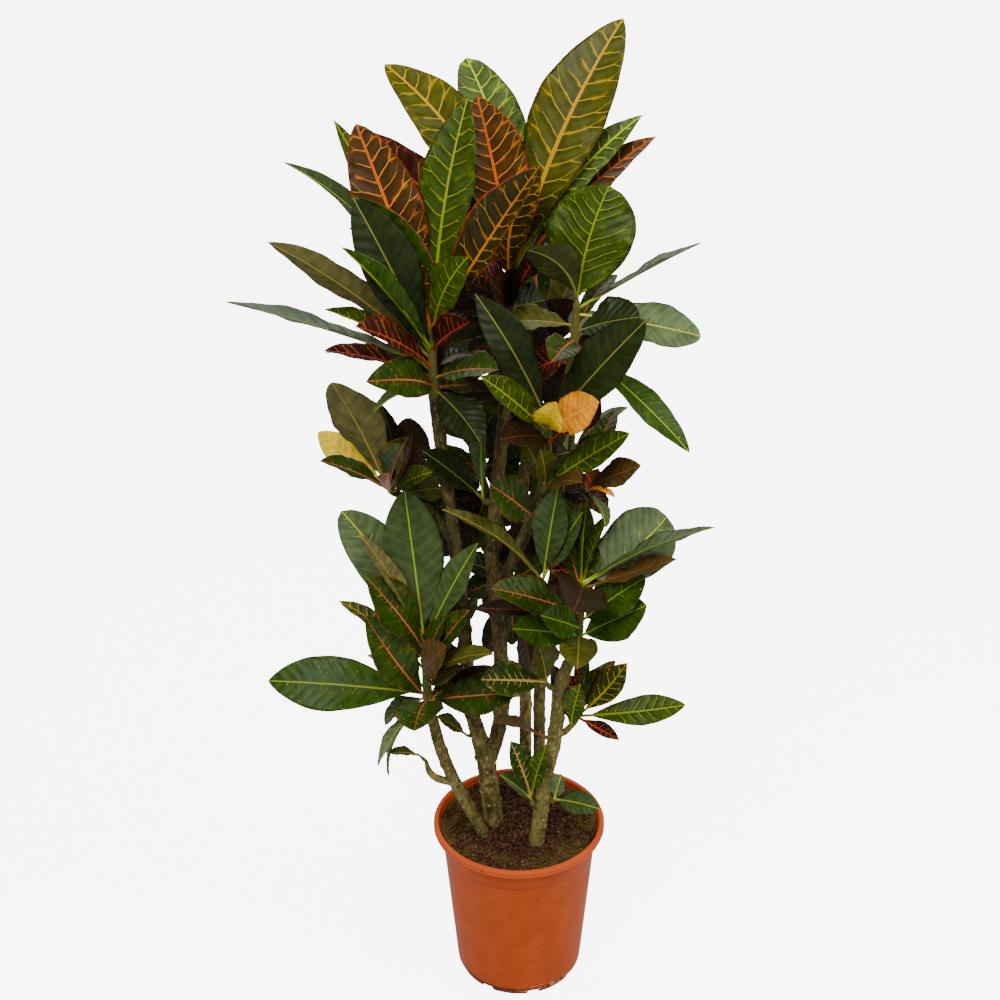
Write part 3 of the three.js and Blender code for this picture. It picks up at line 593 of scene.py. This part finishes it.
# Colouring of a leaf: body, veins, margin, lower face, then how strong the side veins are, how
# far out they run, how red the margin is and how flecked the blade is.
LEAF_KINDS = {
    "gold": ((78, 80, 2), (194, 146, 0), (120, 80, 20), (92, 94, 24), 1.1, 1.1, 0.5, 0.2),
    "fresh": ((74, 92, 34), (184, 200, 30), (120, 130, 50), (90, 100, 40), 1, 0.9, 0.3, 0.6),
    "green": ((54, 73, 2), (140, 150, 14), (100, 100, 20), (78, 88, 24), 0.7, 0.9, 0.3, 0.3),
    "bronze": ((66, 42, 4), (216, 100, 10), (176, 46, 16), (90, 58, 24), 1.1, 1.1, 0.9, 0),
    "maroon": ((54, 22, 12), (196, 70, 42), (156, 38, 26), (84, 44, 26), 0.85, 0.8, 0.8, 0),
    "dusk": ((44, 28, 12), (100, 56, 28), (90, 36, 22), (62, 44, 24), 0.15, 0.5, 0.5, 0),
    "olive": ((78, 78, 20), (150, 134, 50), (96, 80, 30), (102, 97, 52), 0.2, 0.6, 0.2, 0),
    "grey": ((66, 84, 40), (160, 178, 40), (90, 110, 50), (104, 106, 66), 0.08, 0.5, 0.1, 0),
    "pale": ((97, 115, 70), (200, 205, 60), (110, 130, 80), (116, 122, 80), 0.3, 0.5, 0.1, 0),
    "dark": ((44, 66, 6), (204, 108, 64), (150, 60, 30), (76, 82, 28), 0.5, 0.3, 0.75, 0.5),
    "ink": ((34, 44, 10), (128, 124, 50), (70, 60, 30), (60, 64, 28), 0.1, 0.4, 0.2, 0.1),
    "fleck": ((48, 73, 4), (150, 170, 30), (90, 100, 40), (80, 92, 36), 0.2, 0.5, 0.2, 0.8),
    "yellow": ((240, 204, 0), (250, 200, 40), (200, 150, 20), (225, 180, 40), 0.2, 0.6, 0.3, 0.5),
    "orange": ((250, 160, 20), (255, 190, 80), (215, 80, 30), (200, 130, 50), 0.3, 0.8, 0.5, 0),
    "tan": ((112, 104, 56), (150, 134, 60), (130, 90, 40), (112, 104, 56), 0.3, 0.7, 0.4, 0),
    "brown": ((84, 62, 24), (140, 84, 40), (130, 60, 36), (106, 84, 44), 0.15, 0.6, 0.5, 0),
    "net": ((54, 60, 4), (186, 160, 8), (160, 50, 24), (84, 84, 30), 1.1, 0.9, 0.9, 0.2),
    "lace": ((46, 40, 6), (196, 116, 24), (160, 50, 20), (84, 66, 30), 1, 0.9, 0.9, 0.1),
    "spine": ((42, 64, 6), (212, 162, 88), (120, 110, 40), (76, 82, 28), 1, 0.4, 0.7, 0.3),
}


def draws_from(seed):
    """Repeatable draws between 0 and 1: each state is 16807 times the last, modulo 2147483647."""
    state = seed
    while True:
        state = (state * 16807) % 2147483647
        yield state / 2147483647


def point_down(route, down):
    """The point "down" mm below the top of a stem."""
    points = np.array(route, float)[::-1, :3]
    return at(down, lengths(points), points)


def turned_face(base, tip, turn):
    """The way a leaf faces when it is turned by "turn" degrees from the camera towards the sky."""
    along = unit(tip - base)
    front = np.array([0, -0.903, 0.429])
    front = unit(front - along * front.dot(along))
    sky = np.cross(along, front)
    if sky[2] < 0:
        sky = -sky
    return front * cos(radians(turn)) + sky * sin(radians(turn))


def at_each(rings, *looks):
    """The looks (place, share, body, vein, rim) as an array each, with a row for every point."""
    return [np.broadcast_to(look, (*rings.shape[:2], np.shape(look)[-1])).reshape(-1, np.shape(look)[-1])
            for look in looks]


def make_leaf(base, tip, face, width, arch, bow, fold, taper, kind, draw):
    """The rings, material slots and looks of a thin closed blade, and of its stalk and midrib.

    The midrib is an arc of "arch" degrees over the line from base to tip, pushed sideways by
    4 bow t (1 - t). The half width is that of a sine of pi u to the 1.27, to the power "taper"
    hundredths. Each half rises by "fold" degrees. The margin ripples by a sine of two waves a
    blade, as large as a twentieth of the width, and by a finer one of six and a half waves.
    """
    chord = tip - base
    length = np.linalg.norm(chord)
    along = chord / length
    normal = unit(face - along * face.dot(along))
    side = np.cross(normal, along)
    bend = radians(max(arch, 2))
    radius = length / (2 * sin(bend / 2))
    phases = (next(draw) * 2 * pi, next(draw) * 2 * pi)
    rise = radians(fold)

    def spine(t):
        """The midrib's points, and the way up from each."""
        angle = bend * (0.5 - t)
        centre = (base + radius * (sin(bend / 2) - np.sin(angle)) * along
                  + radius * (np.cos(angle) - cos(bend / 2)) * normal + bow * 4 * t * (1 - t) * side)
        return centre, np.cos(angle) * normal - np.sin(angle) * along

    rows, half_columns = 34, 8
    u = np.linspace(0.004, 1, rows)[:, None] ** 0.96
    centre, up = spine(0.1 + 0.9 * u)
    half = width / 2 * np.sin(pi * np.minimum(u ** 1.27, 1)) ** (taper / 100)
    half = np.maximum(half, 1.2 * (1 - u) + 0.05)
    out = np.linspace(-1, 1, 2 * half_columns + 1)[None]
    phase = np.where(out > 0, phases[0], phases[1])
    ripple = 0.05 * width * np.sin(4 * pi * u + phase) * np.sin(pi * u)
    frill = 0.016 * width * np.sin(13 * pi * u + 3 * phase) * np.sin(pi * u)
    far = np.abs(out)
    lift = far ** 1.15 * half * sin(rise) + far ** 2 * ripple + far ** 3 * frill
    lift -= 0.5 * np.exp(-(out * half / 1.6) ** 2)
    sheet = (centre[:, None] + side * (out * half * cos(rise))[..., None]
             + up[:, None] * (lift + 0.3)[..., None])
    below = sheet - up[:, None] * np.broadcast_to(0.55 * (1 - far ** 6) + 0.05, lift.shape)[..., None]
    loop = np.concatenate([sheet, below[:, -2:0:-1]], axis=1)
    columns = np.arange(loop.shape[1])
    blade_slots = np.tile(columns >= 2 * half_columns, rows - 1).tolist() + [1, 1]

    # The stalk reaches a tenth of the way. Past it the midrib runs under the blade and thins.
    t = np.linspace(0, 0.97, 18)[:, None]
    rib_centre, rib_up = spine(t)
    thick = np.where(t < 0.1, 1.7, 1.5 * (1 - t) + 0.25)
    depth = np.where(t < 0.12, 0, 0.6 + 0.25 * thick)
    rib, _ = tube(np.hstack([rib_centre - rib_up * depth, thick]), sides=7)
    rib_slots = [1] * len(closed_faces(rib))

    # Each leaf has its own tone and lies 137 mm times "own" along the pattern.
    body, vein, rim, lower, ribs, run, red, flecked = LEAF_KINDS[kind]
    own = (phases[0] * 7.13) % 1
    tone = 0.85 + 0.3 * own
    low_body = np.array(linear(*lower)) * tone
    body = np.where(columns[:, None] <= 2 * half_columns, np.array(linear(*body)) * tone, low_body)
    body[:, 3] = ribs
    vein = np.array(linear(*vein))
    vein[3] = run
    rim = np.array(linear(*rim))
    rim[3] = red
    out = np.concatenate([out[0], out[0, -2:0:-1]])
    place = np.stack(np.broadcast_arrays(out * half, u * length * 0.9 + 137 * own, flecked), -1)
    share = np.stack(np.broadcast_arrays(out, u, 5 + 0.045 * length), -1)
    rib_body = vein * 0.4 + low_body * 0.6
    return [(loop, blade_slots, at_each(loop, place, share, body, vein, rim)),
            (rib, rib_slots, at_each(rib, [0, 0, 0], [0, 0.5, 9], rib_body, vein, [0, 0, 0, 0]))]


def make_shoot(name, replaced, seed, branch, growth, leaves, inner=(), fill=(0, 0, 0, 0, ())):
    """One green shoot that grows on from a branch, with its leaves, as one piece.

    Each leaf is (down, x, y, z, width, arch, turn, fold, taper, kind), with a bow after it where
    it has one. It starts "down" mm below the shoot's top and its tip is at x, y, z. "inner" holds
    the small leaves (down, x, y, z, width, turn, kind) that close the middle of the plant. Most are
    of the dark kinds: their own colour, and also painted shade for the plant's deep middle. "fill"
    (count, heading, spread, length, kinds) spreads more by rule over the far side.
    """
    draw = draws_from(seed)
    route = branch + growth
    bodies = []

    def grow(down, x, y, z, width, arch, turn, fold, taper, kind, bow=0):
        base, tip = point_down(route, down), np.array([x, y, z], float)
        face = turned_face(base, tip, turn)
        bodies.extend(make_leaf(base, tip, face, width, arch, bow, fold, taper, kind, draw))

    for leaf in leaves:
        grow(*leaf)
    count, heading, spread, length, kinds = fill
    green = np.array([branch[-1]] + growth, float)
    green_length = np.linalg.norm(green[-1, :3] - green[0, :3])
    for index in range(count):
        part = (index + 0.5) / count
        base = point_down(route, green_length * 0.9 * part)
        way = radians(heading + spread * ((((index + 1) * 0.618) % 1) * 2 - 1))
        climb = radians(68 - 75 * part + 16 * (next(draw) - 0.5))
        reach = length * (0.75 + 0.4 * next(draw))
        tip = base + reach * np.array([cos(way) * cos(climb), sin(way) * cos(climb), sin(climb)])
        width = reach * (0.24 + 0.1 * next(draw))
        arch = 35 + 25 * next(draw)
        bodies.extend(make_leaf(base, tip, np.array([0, 0, 1.0]), width, arch, bow=0, fold=10, taper=80,
                                kind=kinds[index % len(kinds)], draw=draw))
    for down, x, y, z, width, turn, kind in inner:
        grow(down, x, y, z, width, arch=25, turn=turn, fold=12, taper=78, kind=kind)

    # The stem ends in a point, a tenth of its last stretch past the last row of "growth".
    stem = eased(np.vstack([green, green[-1] + (green[-1] - green[-2]) * 0.1]), step_length=2.5, ease=8)
    stem[-3:, 3] *= (0.85, 0.6, 0.2)
    rings, _ = tube(stem, sides=16, swell=0.12, seed=seed)
    points = rings.reshape(-1, 3)
    faces = closed_faces(rings)[:-1]
    slots = [2] * len(faces)
    looks = [[np.zeros((len(points), size)) for size in (3, 3, 4, 4, 4)]]
    for rings, body_slots, body_looks in bodies:
        faces += closed_faces(rings, len(points))
        points = np.vstack([points, rings.reshape(-1, 3)])
        slots += body_slots
        looks.append(body_looks)
    shoot = piece(name, points, faces, [leaf_top, leaf_under, young_stem])
    shoot.data.polygons.foreach_set("material_index", slots)
    for key, values in zip(("place", "share", "body", "vein", "rim"), zip(*looks)):
        mark(shoot, key, np.vstack(values))
    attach(shoot, "root")
    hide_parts(replaced)


# The low shoot on the left cane, with broad grey-green leaves above and dark ones below.
make_shoot("low_left_leaves", "low_left_shoot", 101, left_cane[0],
           [(-106, -37, 440, 5), (-107, -38, 487, 3.5)], [
    (0, -195, -20, 643, 62, 15, 15, 10, 55, "pale", -8), (5, -170, -75, 642, 26, 15, 45, 20, 90, "tan", -4),
    (0, -124, -30, 673, 68, 10, 10, 8, 65, "grey"), (3, -45, -40, 614, 38, 18, 30, 12, 85, "grey"),
    (12, -164, -80, 593, 56, 20, 35, 12, 85, "dark"), (78, -167, -85, 548, 54, 20, 30, 12, 85, "dark", 6),
    (40, -209, 20, 508, 36, 30, 60, 10, 85, "net"), (70, -287, -40, 437, 66, 25, 20, 8, 80, "fleck"),
    (78, -2, -75, 443, 50, 15, 20, 12, 80, "dark"), (80, -116, -110, 416, 58, 50, 30, 12, 65, "dark"),
    (75, -157, -30, 372, 30, 60, 50, 15, 75, "grey"), (76, -165, -50, 326, 26, 35, 60, 15, 80, "pale"),
    (80, -154, -35, 301, 18, 60, 70, 20, 80, "grey"), (52, -28, -95, 506, 34, 45, 65, 12, 85, "olive"),
    (45, -80, -75, 504, 46, 40, 40, 15, 70, "brown"), (40, -54, -70, 547, 36, 25, 40, 15, 80, "dark"),
    (25, -82, -60, 531, 28, 20, 40, 15, 80, "dark"), (8, -114, -42, 504, 8, 5, 30, 20, 90, "green"),
    (4, -104, -36, 505, 8, 5, 30, 20, 90, "green"),
], [
    (30, -64, -50, 477, 36, 30, "dark"), (45, -81, -20, 479, 38, 25, "dark"),
    (20, -134, -20, 466, 38, 25, "dark"), (40, -73, 0, 540, 34, 20, "dark"),
    (30, -47, 5, 520, 34, 30, "grey"), (48, -55, -20, 415, 36, 35, "dark"),
    (60, -63, -72, 474, 30, 50, "olive"), (70, -25, -30, 448, 22, 30, "dusk"),
    (80, -74, -40, 434, 24, 30, "dark"),
], (3, 110, 40, 120, ("grey", "dark")))

# A short twig low on the left cane with one dark leaf.
make_shoot("twig_leaf", "twig_shoot", 102, left_cane[1], [(-117, -39, 334, 2)], [
    (0, -151, -45, 341, 18, 35, 60, 15, 70, "olive"),
])

# The left crown, with bronze and gold leaves above and dark ones hanging out to the left.
make_shoot("left_crown_leaves", "left_crown_shoot", 103, middle_cane[0],
           [(-91, -17, 815, 5), (-88, -20, 857, 3.5)], [
    (0, -51, 15, 1081, 58, 12, 12, 10, 80, "green", 6), (12, -161, -5, 1060, 68, 15, 12, 8, 70, "bronze"),
    (20, -187, 30, 1057, 40, 20, 40, 10, 90, "green"), (8, 21, -60, 1032, 62, 15, 20, 40, 90, "lace"),
    (35, -162, -50, 997, 60, 20, 15, 8, 80, "ink"), (25, -162, -30, 993, 48, 15, 30, 45, 85, "dark", -18),
    (22, -238, 10, 1019, 40, 50, 60, 15, 90, "grey", -8),
    (40, -247, -60, 956, 44, 25, 130, 10, 80, "olive"), (30, -172, -85, 958, 34, 20, 40, 50, 90, "fleck"),
    (45, -302, -20, 882, 44, 8, 70, 12, 85, "grey"), (55, -195, -60, 887, 36, 30, 65, 20, 90, "green"),
    (50, -159, -110, 886, 44, 25, 50, 20, 80, "maroon"), (65, -195, -80, 850, 38, 25, 60, 15, 85, "maroon"),
    (72, -149, -130, 836, 44, 45, 15, 15, 75, "dark"), (74, -150, -60, 776, 22, 60, 60, 20, 90, "grey"),
    (30, -49, -80, 880, 42, 25, 30, 40, 80, "maroon"), (10, -50, -75, 945, 44, 20, 25, 10, 75, "green", 6),
    (62, -21, -75, 828, 44, 30, 45, 15, 75, "dark"), (74, -40, -70, 746, 52, 40, 30, 12, 75, "ink"),
], [
    (78, -53, 25, 761, 30, 35, "ink"), (60, -142, 5, 826, 44, 40, "dusk"),
    (80, -133, 10, 794, 36, 40, "dark"), (50, -59, 22, 812, 34, 40, "dusk"),
    (72, -51, 12, 777, 32, 35, "dark"), (80, -27, 24, 765, 34, 30, "dusk"),
    (70, -84, 20, 859, 36, 20, "dusk"), (82, -71, 24, 814, 32, 20, "ink"),
    (62, -128, 0, 855, 34, 25, "dark"),
], (3, 150, 35, 140, ("dark", "olive")))

# The top of the plant, with the largest gold-veined leaves.
make_shoot("top_leaves", "top_shoot", 104, middle_cane[1], [(-8, 29, 860, 4.8), (-4, 30, 909, 3.5)], [
    (15, 105, 70, 1150, 80, 15, 15, 8, 75, "gold", 10),
    (5, -135, 45, 1109, 68, 25, 20, 12, 70, "gold", -18),
    (0, -54, 85, 1109, 66, 10, 15, 8, 50, "fresh", -12), (10, -42, 40, 1079, 72, 15, 10, 10, 80, "bronze"),
    (25, -157, 50, 1041, 58, 20, 30, 12, 85, "maroon", 6),
    (30, 22, 0, 1018, 50, 25, 20, 15, 90, "lace", 14), (20, 140, 40, 1038, 48, 20, 40, 12, 90, "bronze", 8),
    (10, 126, 45, 1059, 42, 20, 30, 8, 90, "fresh", 10), (40, 25, 0, 936, 18, 10, 30, 20, 90, "maroon"),
    (60, -30, -40, 910, 48, 30, 40, 15, 75, "dusk"), (50, 6, -25, 918, 36, 30, 40, 25, 90, "dusk"),
], [
    (30, -40, -5, 905, 44, 25, "maroon"), (60, -61, 40, 851, 42, 20, "dusk"),
    (80, -80, 50, 810, 38, 20, "dark"), (70, -55, 20, 795, 34, 30, "dusk"),
    (95, -74, 45, 762, 34, 25, "maroon"), (25, 15, 40, 917, 40, 20, "maroon"),
    (50, 28, 50, 861, 44, 15, "ink"), (45, -60, 30, 890, 40, 20, "dusk"),
    (62, -76, 28, 855, 40, 25, "dusk"), (75, -73, 40, 882, 40, 20, "dusk"),
    (25, -54, 42, 985, 44, 20, "bronze"), (95, -27, 40, 780, 28, 20, "dusk"),
], (3, 85, 45, 140, ("olive", "dark")))

# The right crown, with one round gold-veined leaf facing the front.
make_shoot("right_crown_leaves", "right_crown_shoot", 105, middle_cane[2],
           [(58, -10, 840, 4.6), (60, -10, 880, 3.4)], [
    (0, 8, -50, 945, 46, 20, 150, 10, 80, "ink", 12), (5, 91, 5, 996, 92, 15, 8, 6, 55, "green", 5),
    (10, 186, -5, 940, 36, 8, 75, 10, 85, "grey"), (15, 193, 10, 834, 50, 20, 20, 10, 60, "pale"),
    (35, 124, -40, 872, 56, 25, 35, 12, 70, "ink"), (50, 179, -60, 730, 36, 25, 30, 12, 85, "fleck"),
    (45, 33, -90, 842, 40, 30, 20, 20, 75, "dark"),
], [
    (28, -17, 2, 853, 44, 45, "olive"), (60, 12, 15, 792, 42, 20, "maroon"),
    (74, 29, 22, 766, 40, 20, "dusk"),
], (3, 60, 25, 105, ("grey", "dark")))

# A short side shoot in the middle, with an orange leaf and a yellow one.
make_shoot("centre_leaves", "centre_shoot", 106, middle_cane[3],
           [(31, -32, 730, 3.8), (31, -36, 751, 3)], [
    (0, -44, -54, 901, 46, 12, 15, 12, 85, "ink", -4), (10, -39, -90, 827, 36, 20, 25, 25, 85, "green"),
    (5, 80, -100, 803, 44, 15, 15, 10, 65, "orange"), (2, 37, -70, 791, 22, 20, 20, 10, 65, "yellow"),
    (20, -19, -110, 766, 44, 35, 40, 12, 80, "dusk"), (25, 65, -80, 774, 26, 25, 50, 10, 80, "maroon"),
    (4, 126, -80, 882, 58, 20, 20, 10, 65, "ink"), (0, 37, -120, 810, 36, 30, 10, 20, 75, "yellow"),
])

# A short side shoot under it, with olive leaves.
make_shoot("inner_leaves", "inner_shoot", 107, middle_cane[4], [(28, -29, 674, 3.4), (28, -32, 681, 3)], [
    (2, 3, -60, 749, 34, 15, 30, 12, 80, "olive"), (0, 22, -80, 742, 30, 20, 30, 12, 80, "olive"),
    (6, 65, -90, 710, 34, 30, 60, 10, 80, "brown"), (4, 116, -50, 748, 36, 20, 25, 15, 75, "green"),
])

# A single leaf on a spur of the third branch.
make_shoot("branch_single_leaf", "branch_leaf", 108, middle_cane[5],
           [(16, -22, 633, 3.2), (15, -25, 638, 3)], [(0, -31, -70, 698, 50, 25, 20, 15, 70, "dark")])

# A spur on the second branch with two dark leaves.
make_shoot("inner_left_leaves", "inner_left_shoot", 109, middle_cane[6],
           [(-39, 3, 644, 3.2), (-41, 0, 649, 3)], [
    (0, -103, -30, 719, 36, 20, 30, 12, 80, "ink"), (3, -37, -40, 775, 30, 10, 45, 20, 85, "grey"),
])

# A side shoot to the right with small brown and maroon leaves.
make_shoot("right_mid_leaves", "right_mid_shoot", 110, middle_cane[7],
           [(70, -21, 669, 3.6), (75, -22, 674, 3)], [
    (2, 129, -50, 711, 34, 10, 30, 12, 80, "brown"), (0, 69, -80, 716, 30, 25, 40, 20, 80, "maroon"),
    (5, 102, -60, 678, 12, 40, 60, 20, 80, "orange"), (7, 92, -75, 650, 22, 50, 60, 15, 80, "grey"),
], [
    (5, 60, -40, 660, 30, 35, "dusk"), (8, 95, -30, 645, 28, 35, "maroon"),
], (1, 60, 20, 100, ("dark",)))

# A side shoot in the middle with two grey-green leaves that stand up.
make_shoot("low_inner_leaves", "low_inner_shoot", 111, middle_cane[8],
           [(25, -31, 558, 3.6), (27, -32, 566, 3)], [
    (0, 42, -40, 680, 44, 12, 20, 15, 75, "grey"), (2, 68, -50, 656, 36, 15, 35, 15, 80, "grey"),
    (4, -81, -80, 674, 26, 35, 55, 25, 90, "olive"),
])

# A side shoot to the left, with a yellow leaf and one that shows its dull olive back.
make_shoot("left_mid_leaves", "left_mid_shoot", 112, middle_cane[9],
           [(-136, -20, 664, 3.6), (-142, -30, 674, 3)], [
    (0, -192, -60, 809, 62, 20, 150, 10, 75, "olive"), (4, -221, 20, 720, 36, 10, 10, 10, 80, "yellow"),
    (8, -212, -40, 712, 36, 25, 60, 15, 85, "dark"), (0, -148, -10, 765, 26, 15, 60, 15, 85, "ink", -10),
    (5, -119, 20, 737, 50, 15, 20, 12, 70, "dusk", -12), (3, -115, -70, 752, 36, 20, 40, 35, 85, "dark"),
    (10, -118, -90, 752, 42, 25, 40, 20, 70, "dark"), (8, -133, -100, 725, 22, 25, 30, 15, 80, "bronze"),
    (12, -92, -60, 708, 28, 30, 40, 12, 75, "green"),
], [
    (33, -93, 15, 615, 34, 20, "ink"), (20, -102, -5, 703, 30, 25, "dark"),
    (25, -88, 28, 648, 34, 20, "olive"),
], (2, 110, 30, 110, ("dark", "grey")))

# One small leaf low on the middle cane.
make_shoot("trunk_single_leaf", "trunk_leaf", 113, middle_cane[10],
           [(-60, -11, 342, 2.2), (-62, -13, 344, 2)], [(0, -96, -20, 376, 22, 20, 50, 12, 80, "olive")])

# The right cane's shoot, with a broad pale quilted leaf and dark green ones around it.
make_shoot("low_right_leaves", "low_right_shoot", 114, right_cane[0],
           [(69, -40, 525, 4.2), (68, -40, 564, 3.4)], [
    (0, 168, 30, 612, 78, 25, 15, 8, 50, "pale", -8), (5, 213, -40, 633, 40, 25, 75, 10, 85, "grey"),
    (8, 172, -50, 599, 44, 4, 65, 12, 85, "brown"), (50, 139, -50, 577, 54, 20, 30, 10, 65, "fleck"),
    (69, 140, -65, 550, 56, 15, 25, 10, 70, "fleck"), (40, -30, -85, 582, 48, 20, 40, 12, 80, "dark"),
    (3, 56, -150, 590, 62, 40, 0, 12, 65, "dusk"), (45, -52, -35, 528, 30, 20, 50, 12, 80, "dusk"),
    (68, -7, -75, 526, 44, 20, 25, 15, 75, "fleck"), (58, 24, -95, 554, 42, 25, 20, 15, 70, "fleck"),
    (68, 63, -110, 497, 44, 50, 5, 10, 60, "olive"), (10, 73, -45, 670, 24, 10, 75, 20, 90, "green"),
    (6, 97, -25, 640, 28, 15, 60, 20, 90, "green"),
], [
    (5, 29, -30, 594, 30, 30, "maroon"), (20, 33, -20, 551, 34, 25, "dusk"),
    (35, 30, -20, 492, 36, 25, "dark"), (3, 86, -20, 601, 30, 30, "green"),
    (10, 45, -10, 627, 34, 15, "dark"), (30, 41, -8, 591, 34, 20, "ink"),
    (60, 35, -12, 527, 36, 20, "dusk"),
], (3, 80, 35, 110, ("dark", "grey")))

# A spur low on the right cane, with a small leaf netted in yellow.
make_shoot("right_side_leaves", "right_side_shoot", 115, right_cane[1],
           [(63, -46, 383, 3.6), (70, -46, 396, 3)], [
    (0, 123, -40, 461, 34, 20, 20, 15, 95, "net", -4), (3, 191, -50, 411, 36, 25, 25, 10, 80, "green", -4),
    (5, 113, -90, 390, 20, 0, 30, 30, 85, "maroon"), (20, 69, -70, 452, 30, 20, 25, 15, 80, "green"),
    (2, 66, -20, 452, 22, 20, 40, 15, 85, "maroon"), (1, 80, -22, 454, 26, 15, 45, 20, 85, "grey"),
], [
    (8, 58, -35, 442, 26, 30, "maroon"), (3, 91, -25, 445, 26, 30, "dark"),
    (20, 39, -16, 443, 28, 25, "dusk"),
], (1, 45, 20, 80, ("dark",)))

# A spur on the inner side of the right cane with two leaves.
make_shoot("low_centre_leaves", "low_centre_shoot", 116, right_cane[2],
           [(33, -42, 432, 3.2), (31, -42, 437, 3)], [
    (0, -42, -90, 470, 44, 10, 25, 12, 75, "spine"), (2, 20, -60, 503, 40, 20, 30, 15, 80, "olive"),
])

# One olive-brown leaf straight from the right cane's bark.
make_shoot("lone_single_leaf", "lone_leaf", 117, right_cane[3],
           [(31, -48, 365, 2.2), (29, -49, 367, 2)], [(0, -29, -85, 412, 30, 20, 75, 15, 85, "brown")])

# A young shoot at the right cane's foot, netted in yellow.
make_shoot("base_leaves", "base_shoot", 118, right_cane[4], [(15, -48, 273, 3.2), (14, -48, 280, 3)], [
    (0, -10, -60, 368, 34, 15, 35, 15, 85, "spine"), (0, 31, -60, 361, 26, 15, 30, 15, 85, "green"),
    (2, -22, -75, 332, 26, 15, 60, 15, 85, "grey"),
])

# A smaller one beside it, over the soil.
make_shoot("base_right_leaves", "base_right_shoot", 119, right_cane[5],
           [(41, -50, 277, 3.2), (42, -53, 282, 3)], [
    (2, 93, -90, 295, 30, 40, 30, 12, 80, "grey"), (0, 50, -64, 325, 22, 20, 30, 12, 70, "pale"),
])

# Four shoots behind the canes, which close the plant's middle and fill it out on the far side.
make_shoot("back_crown_leaves", "back_crown_shoot", 120, back_cane[0],
           [(20, 92, 760, 4.6), (24, 98, 795, 3.4)], [
    (5, -54, 64, 832, 46, 20, 20, 15, 80, "maroon"), (15, -45, 62, 800, 44, 25, 30, 15, 80, "dark"),
    (3, 61, 82, 850, 48, 20, 20, 15, 80, "dusk"), (20, 99, 72, 795, 46, 25, 30, 15, 80, "maroon"),
    (50, -57, 60, 732, 46, 25, 20, 12, 75, "olive"), (56, -20, 55, 668, 44, 20, 15, 12, 75, "ink"),
    (58, 44, 58, 682, 42, 20, 20, 12, 75, "dark"), (0, 1, 92, 865, 40, 15, 15, 12, 85, "maroon"),
], [
    (45, 46, 75, 784, 46, 15, "dark"), (70, -13, 70, 689, 40, 15, "dusk"),
    (60, -46, 70, 756, 40, 20, "dark"), (60, 54, 72, 755, 46, 15, "dusk"),
    (40, 10, 68, 837, 44, 15, "dusk"), (10, 58, 60, 769, 30, 20, "ink"),
], (4, 85, 55, 160, ("dark", "olive", "bronze", "grey")))
make_shoot("back_left_leaves", "back_left_shoot", 121, back_cane[1],
           [(-46, 106, 635, 4.2), (-52, 112, 665, 3.4)], [
    (0, -95, 100, 738, 52, 20, 15, 12, 70, "olive"), (3, -16, 92, 735, 44, 15, 20, 15, 80, "ink"),
    (10, 6, 78, 690, 42, 20, 20, 12, 80, "dusk"), (30, 8, 74, 633, 42, 25, 15, 12, 75, "dark"),
    (40, -78, 92, 602, 40, 30, 20, 12, 75, "dusk"), (15, -98, 105, 645, 36, 30, 30, 15, 80, "dark"),
], [
    (55, -107, 80, 593, 44, 20, "ink"), (40, -115, 90, 643, 40, 20, "olive"),
    (59, -58, 75, 543, 40, 15, "dark"), (59, -32, 80, 530, 34, 15, "olive"),
    (20, -18, 100, 686, 36, 20, "dark"), (59, -8, 88, 572, 36, 20, "dusk"),
    (35, -72, 82, 633, 42, 15, "dusk"), (30, 2, 84, 645, 38, 15, "dark"),
    (59, -94, 76, 537, 46, 15, "dusk"), (50, -67, 84, 666, 30, 20, "dark"),
    (30, 8, 80, 666, 30, 20, "ink"), (59, -68, 80, 605, 26, 15, "dusk"),
], (3, 140, 50, 130, ("grey", "dark", "green")))
make_shoot("back_low_leaves", "back_low_shoot", 122, back_cane[2],
           [(-10, 37, 517, 3.6), (-12, 34, 531, 3)], [
    (0, -65, 34, 509, 32, 25, 20, 12, 80, "dark"), (8, -31, 32, 476, 36, 25, 15, 12, 75, "grey"),
    (10, 10, 33, 484, 34, 30, 15, 12, 75, "dark"), (0, 6, 34, 603, 36, 15, 20, 12, 80, "dusk"),
    (2, -71, 36, 554, 32, 25, 35, 12, 80, "ink"),
], [
    (20, -39, 40, 423, 28, 15, "dusk"), (10, 30, 38, 552, 32, 20, "dark"),
    (15, 36, 36, 513, 30, 20, "dusk"), (0, -35, 38, 567, 30, 20, "dark"),
    (5, -41, 38, 488, 28, 20, "ink"), (10, -38, 45, 427, 18, 15, "dusk"),
    (12, -8, 42, 435, 26, 15, "dark"), (27, 17, 45, 379, 26, 15, "dusk"),
])
make_shoot("back_mid_leaves", "back_mid_shoot", 123, far_cane[0],
           [(60, 102, 655, 4.6), (62, 104, 690, 3.4)], [
    (5, 92, 80, 740, 42, 20, 20, 12, 80, "maroon"), (20, 107, 85, 668, 42, 25, 25, 12, 80, "dark"),
    (30, 28, 72, 665, 44, 20, 15, 12, 75, "ink"), (52, 95, 76, 600, 44, 30, 20, 12, 75, "dusk"),
    (55, 40, 70, 585, 42, 25, 15, 12, 75, "dark"), (0, 76, 110, 758, 34, 15, 20, 12, 80, "dusk"),
], [
    (60, 19, 80, 637, 42, 15, "dark"), (68, 13, 74, 605, 40, 15, "olive"),
    (70, 66, 70, 535, 42, 15, "dark"), (10, 42, 95, 738, 40, 15, "dusk"),
    (68, 30, 66, 557, 40, 15, "ink"), (70, -9, 72, 566, 40, 15, "dark"),
    (69, 13, 72, 526, 40, 15, "dusk"), (40, -2, 75, 625, 34, 15, "dark"),
], (3, 60, 50, 110, ("dark", "grey", "olive")))
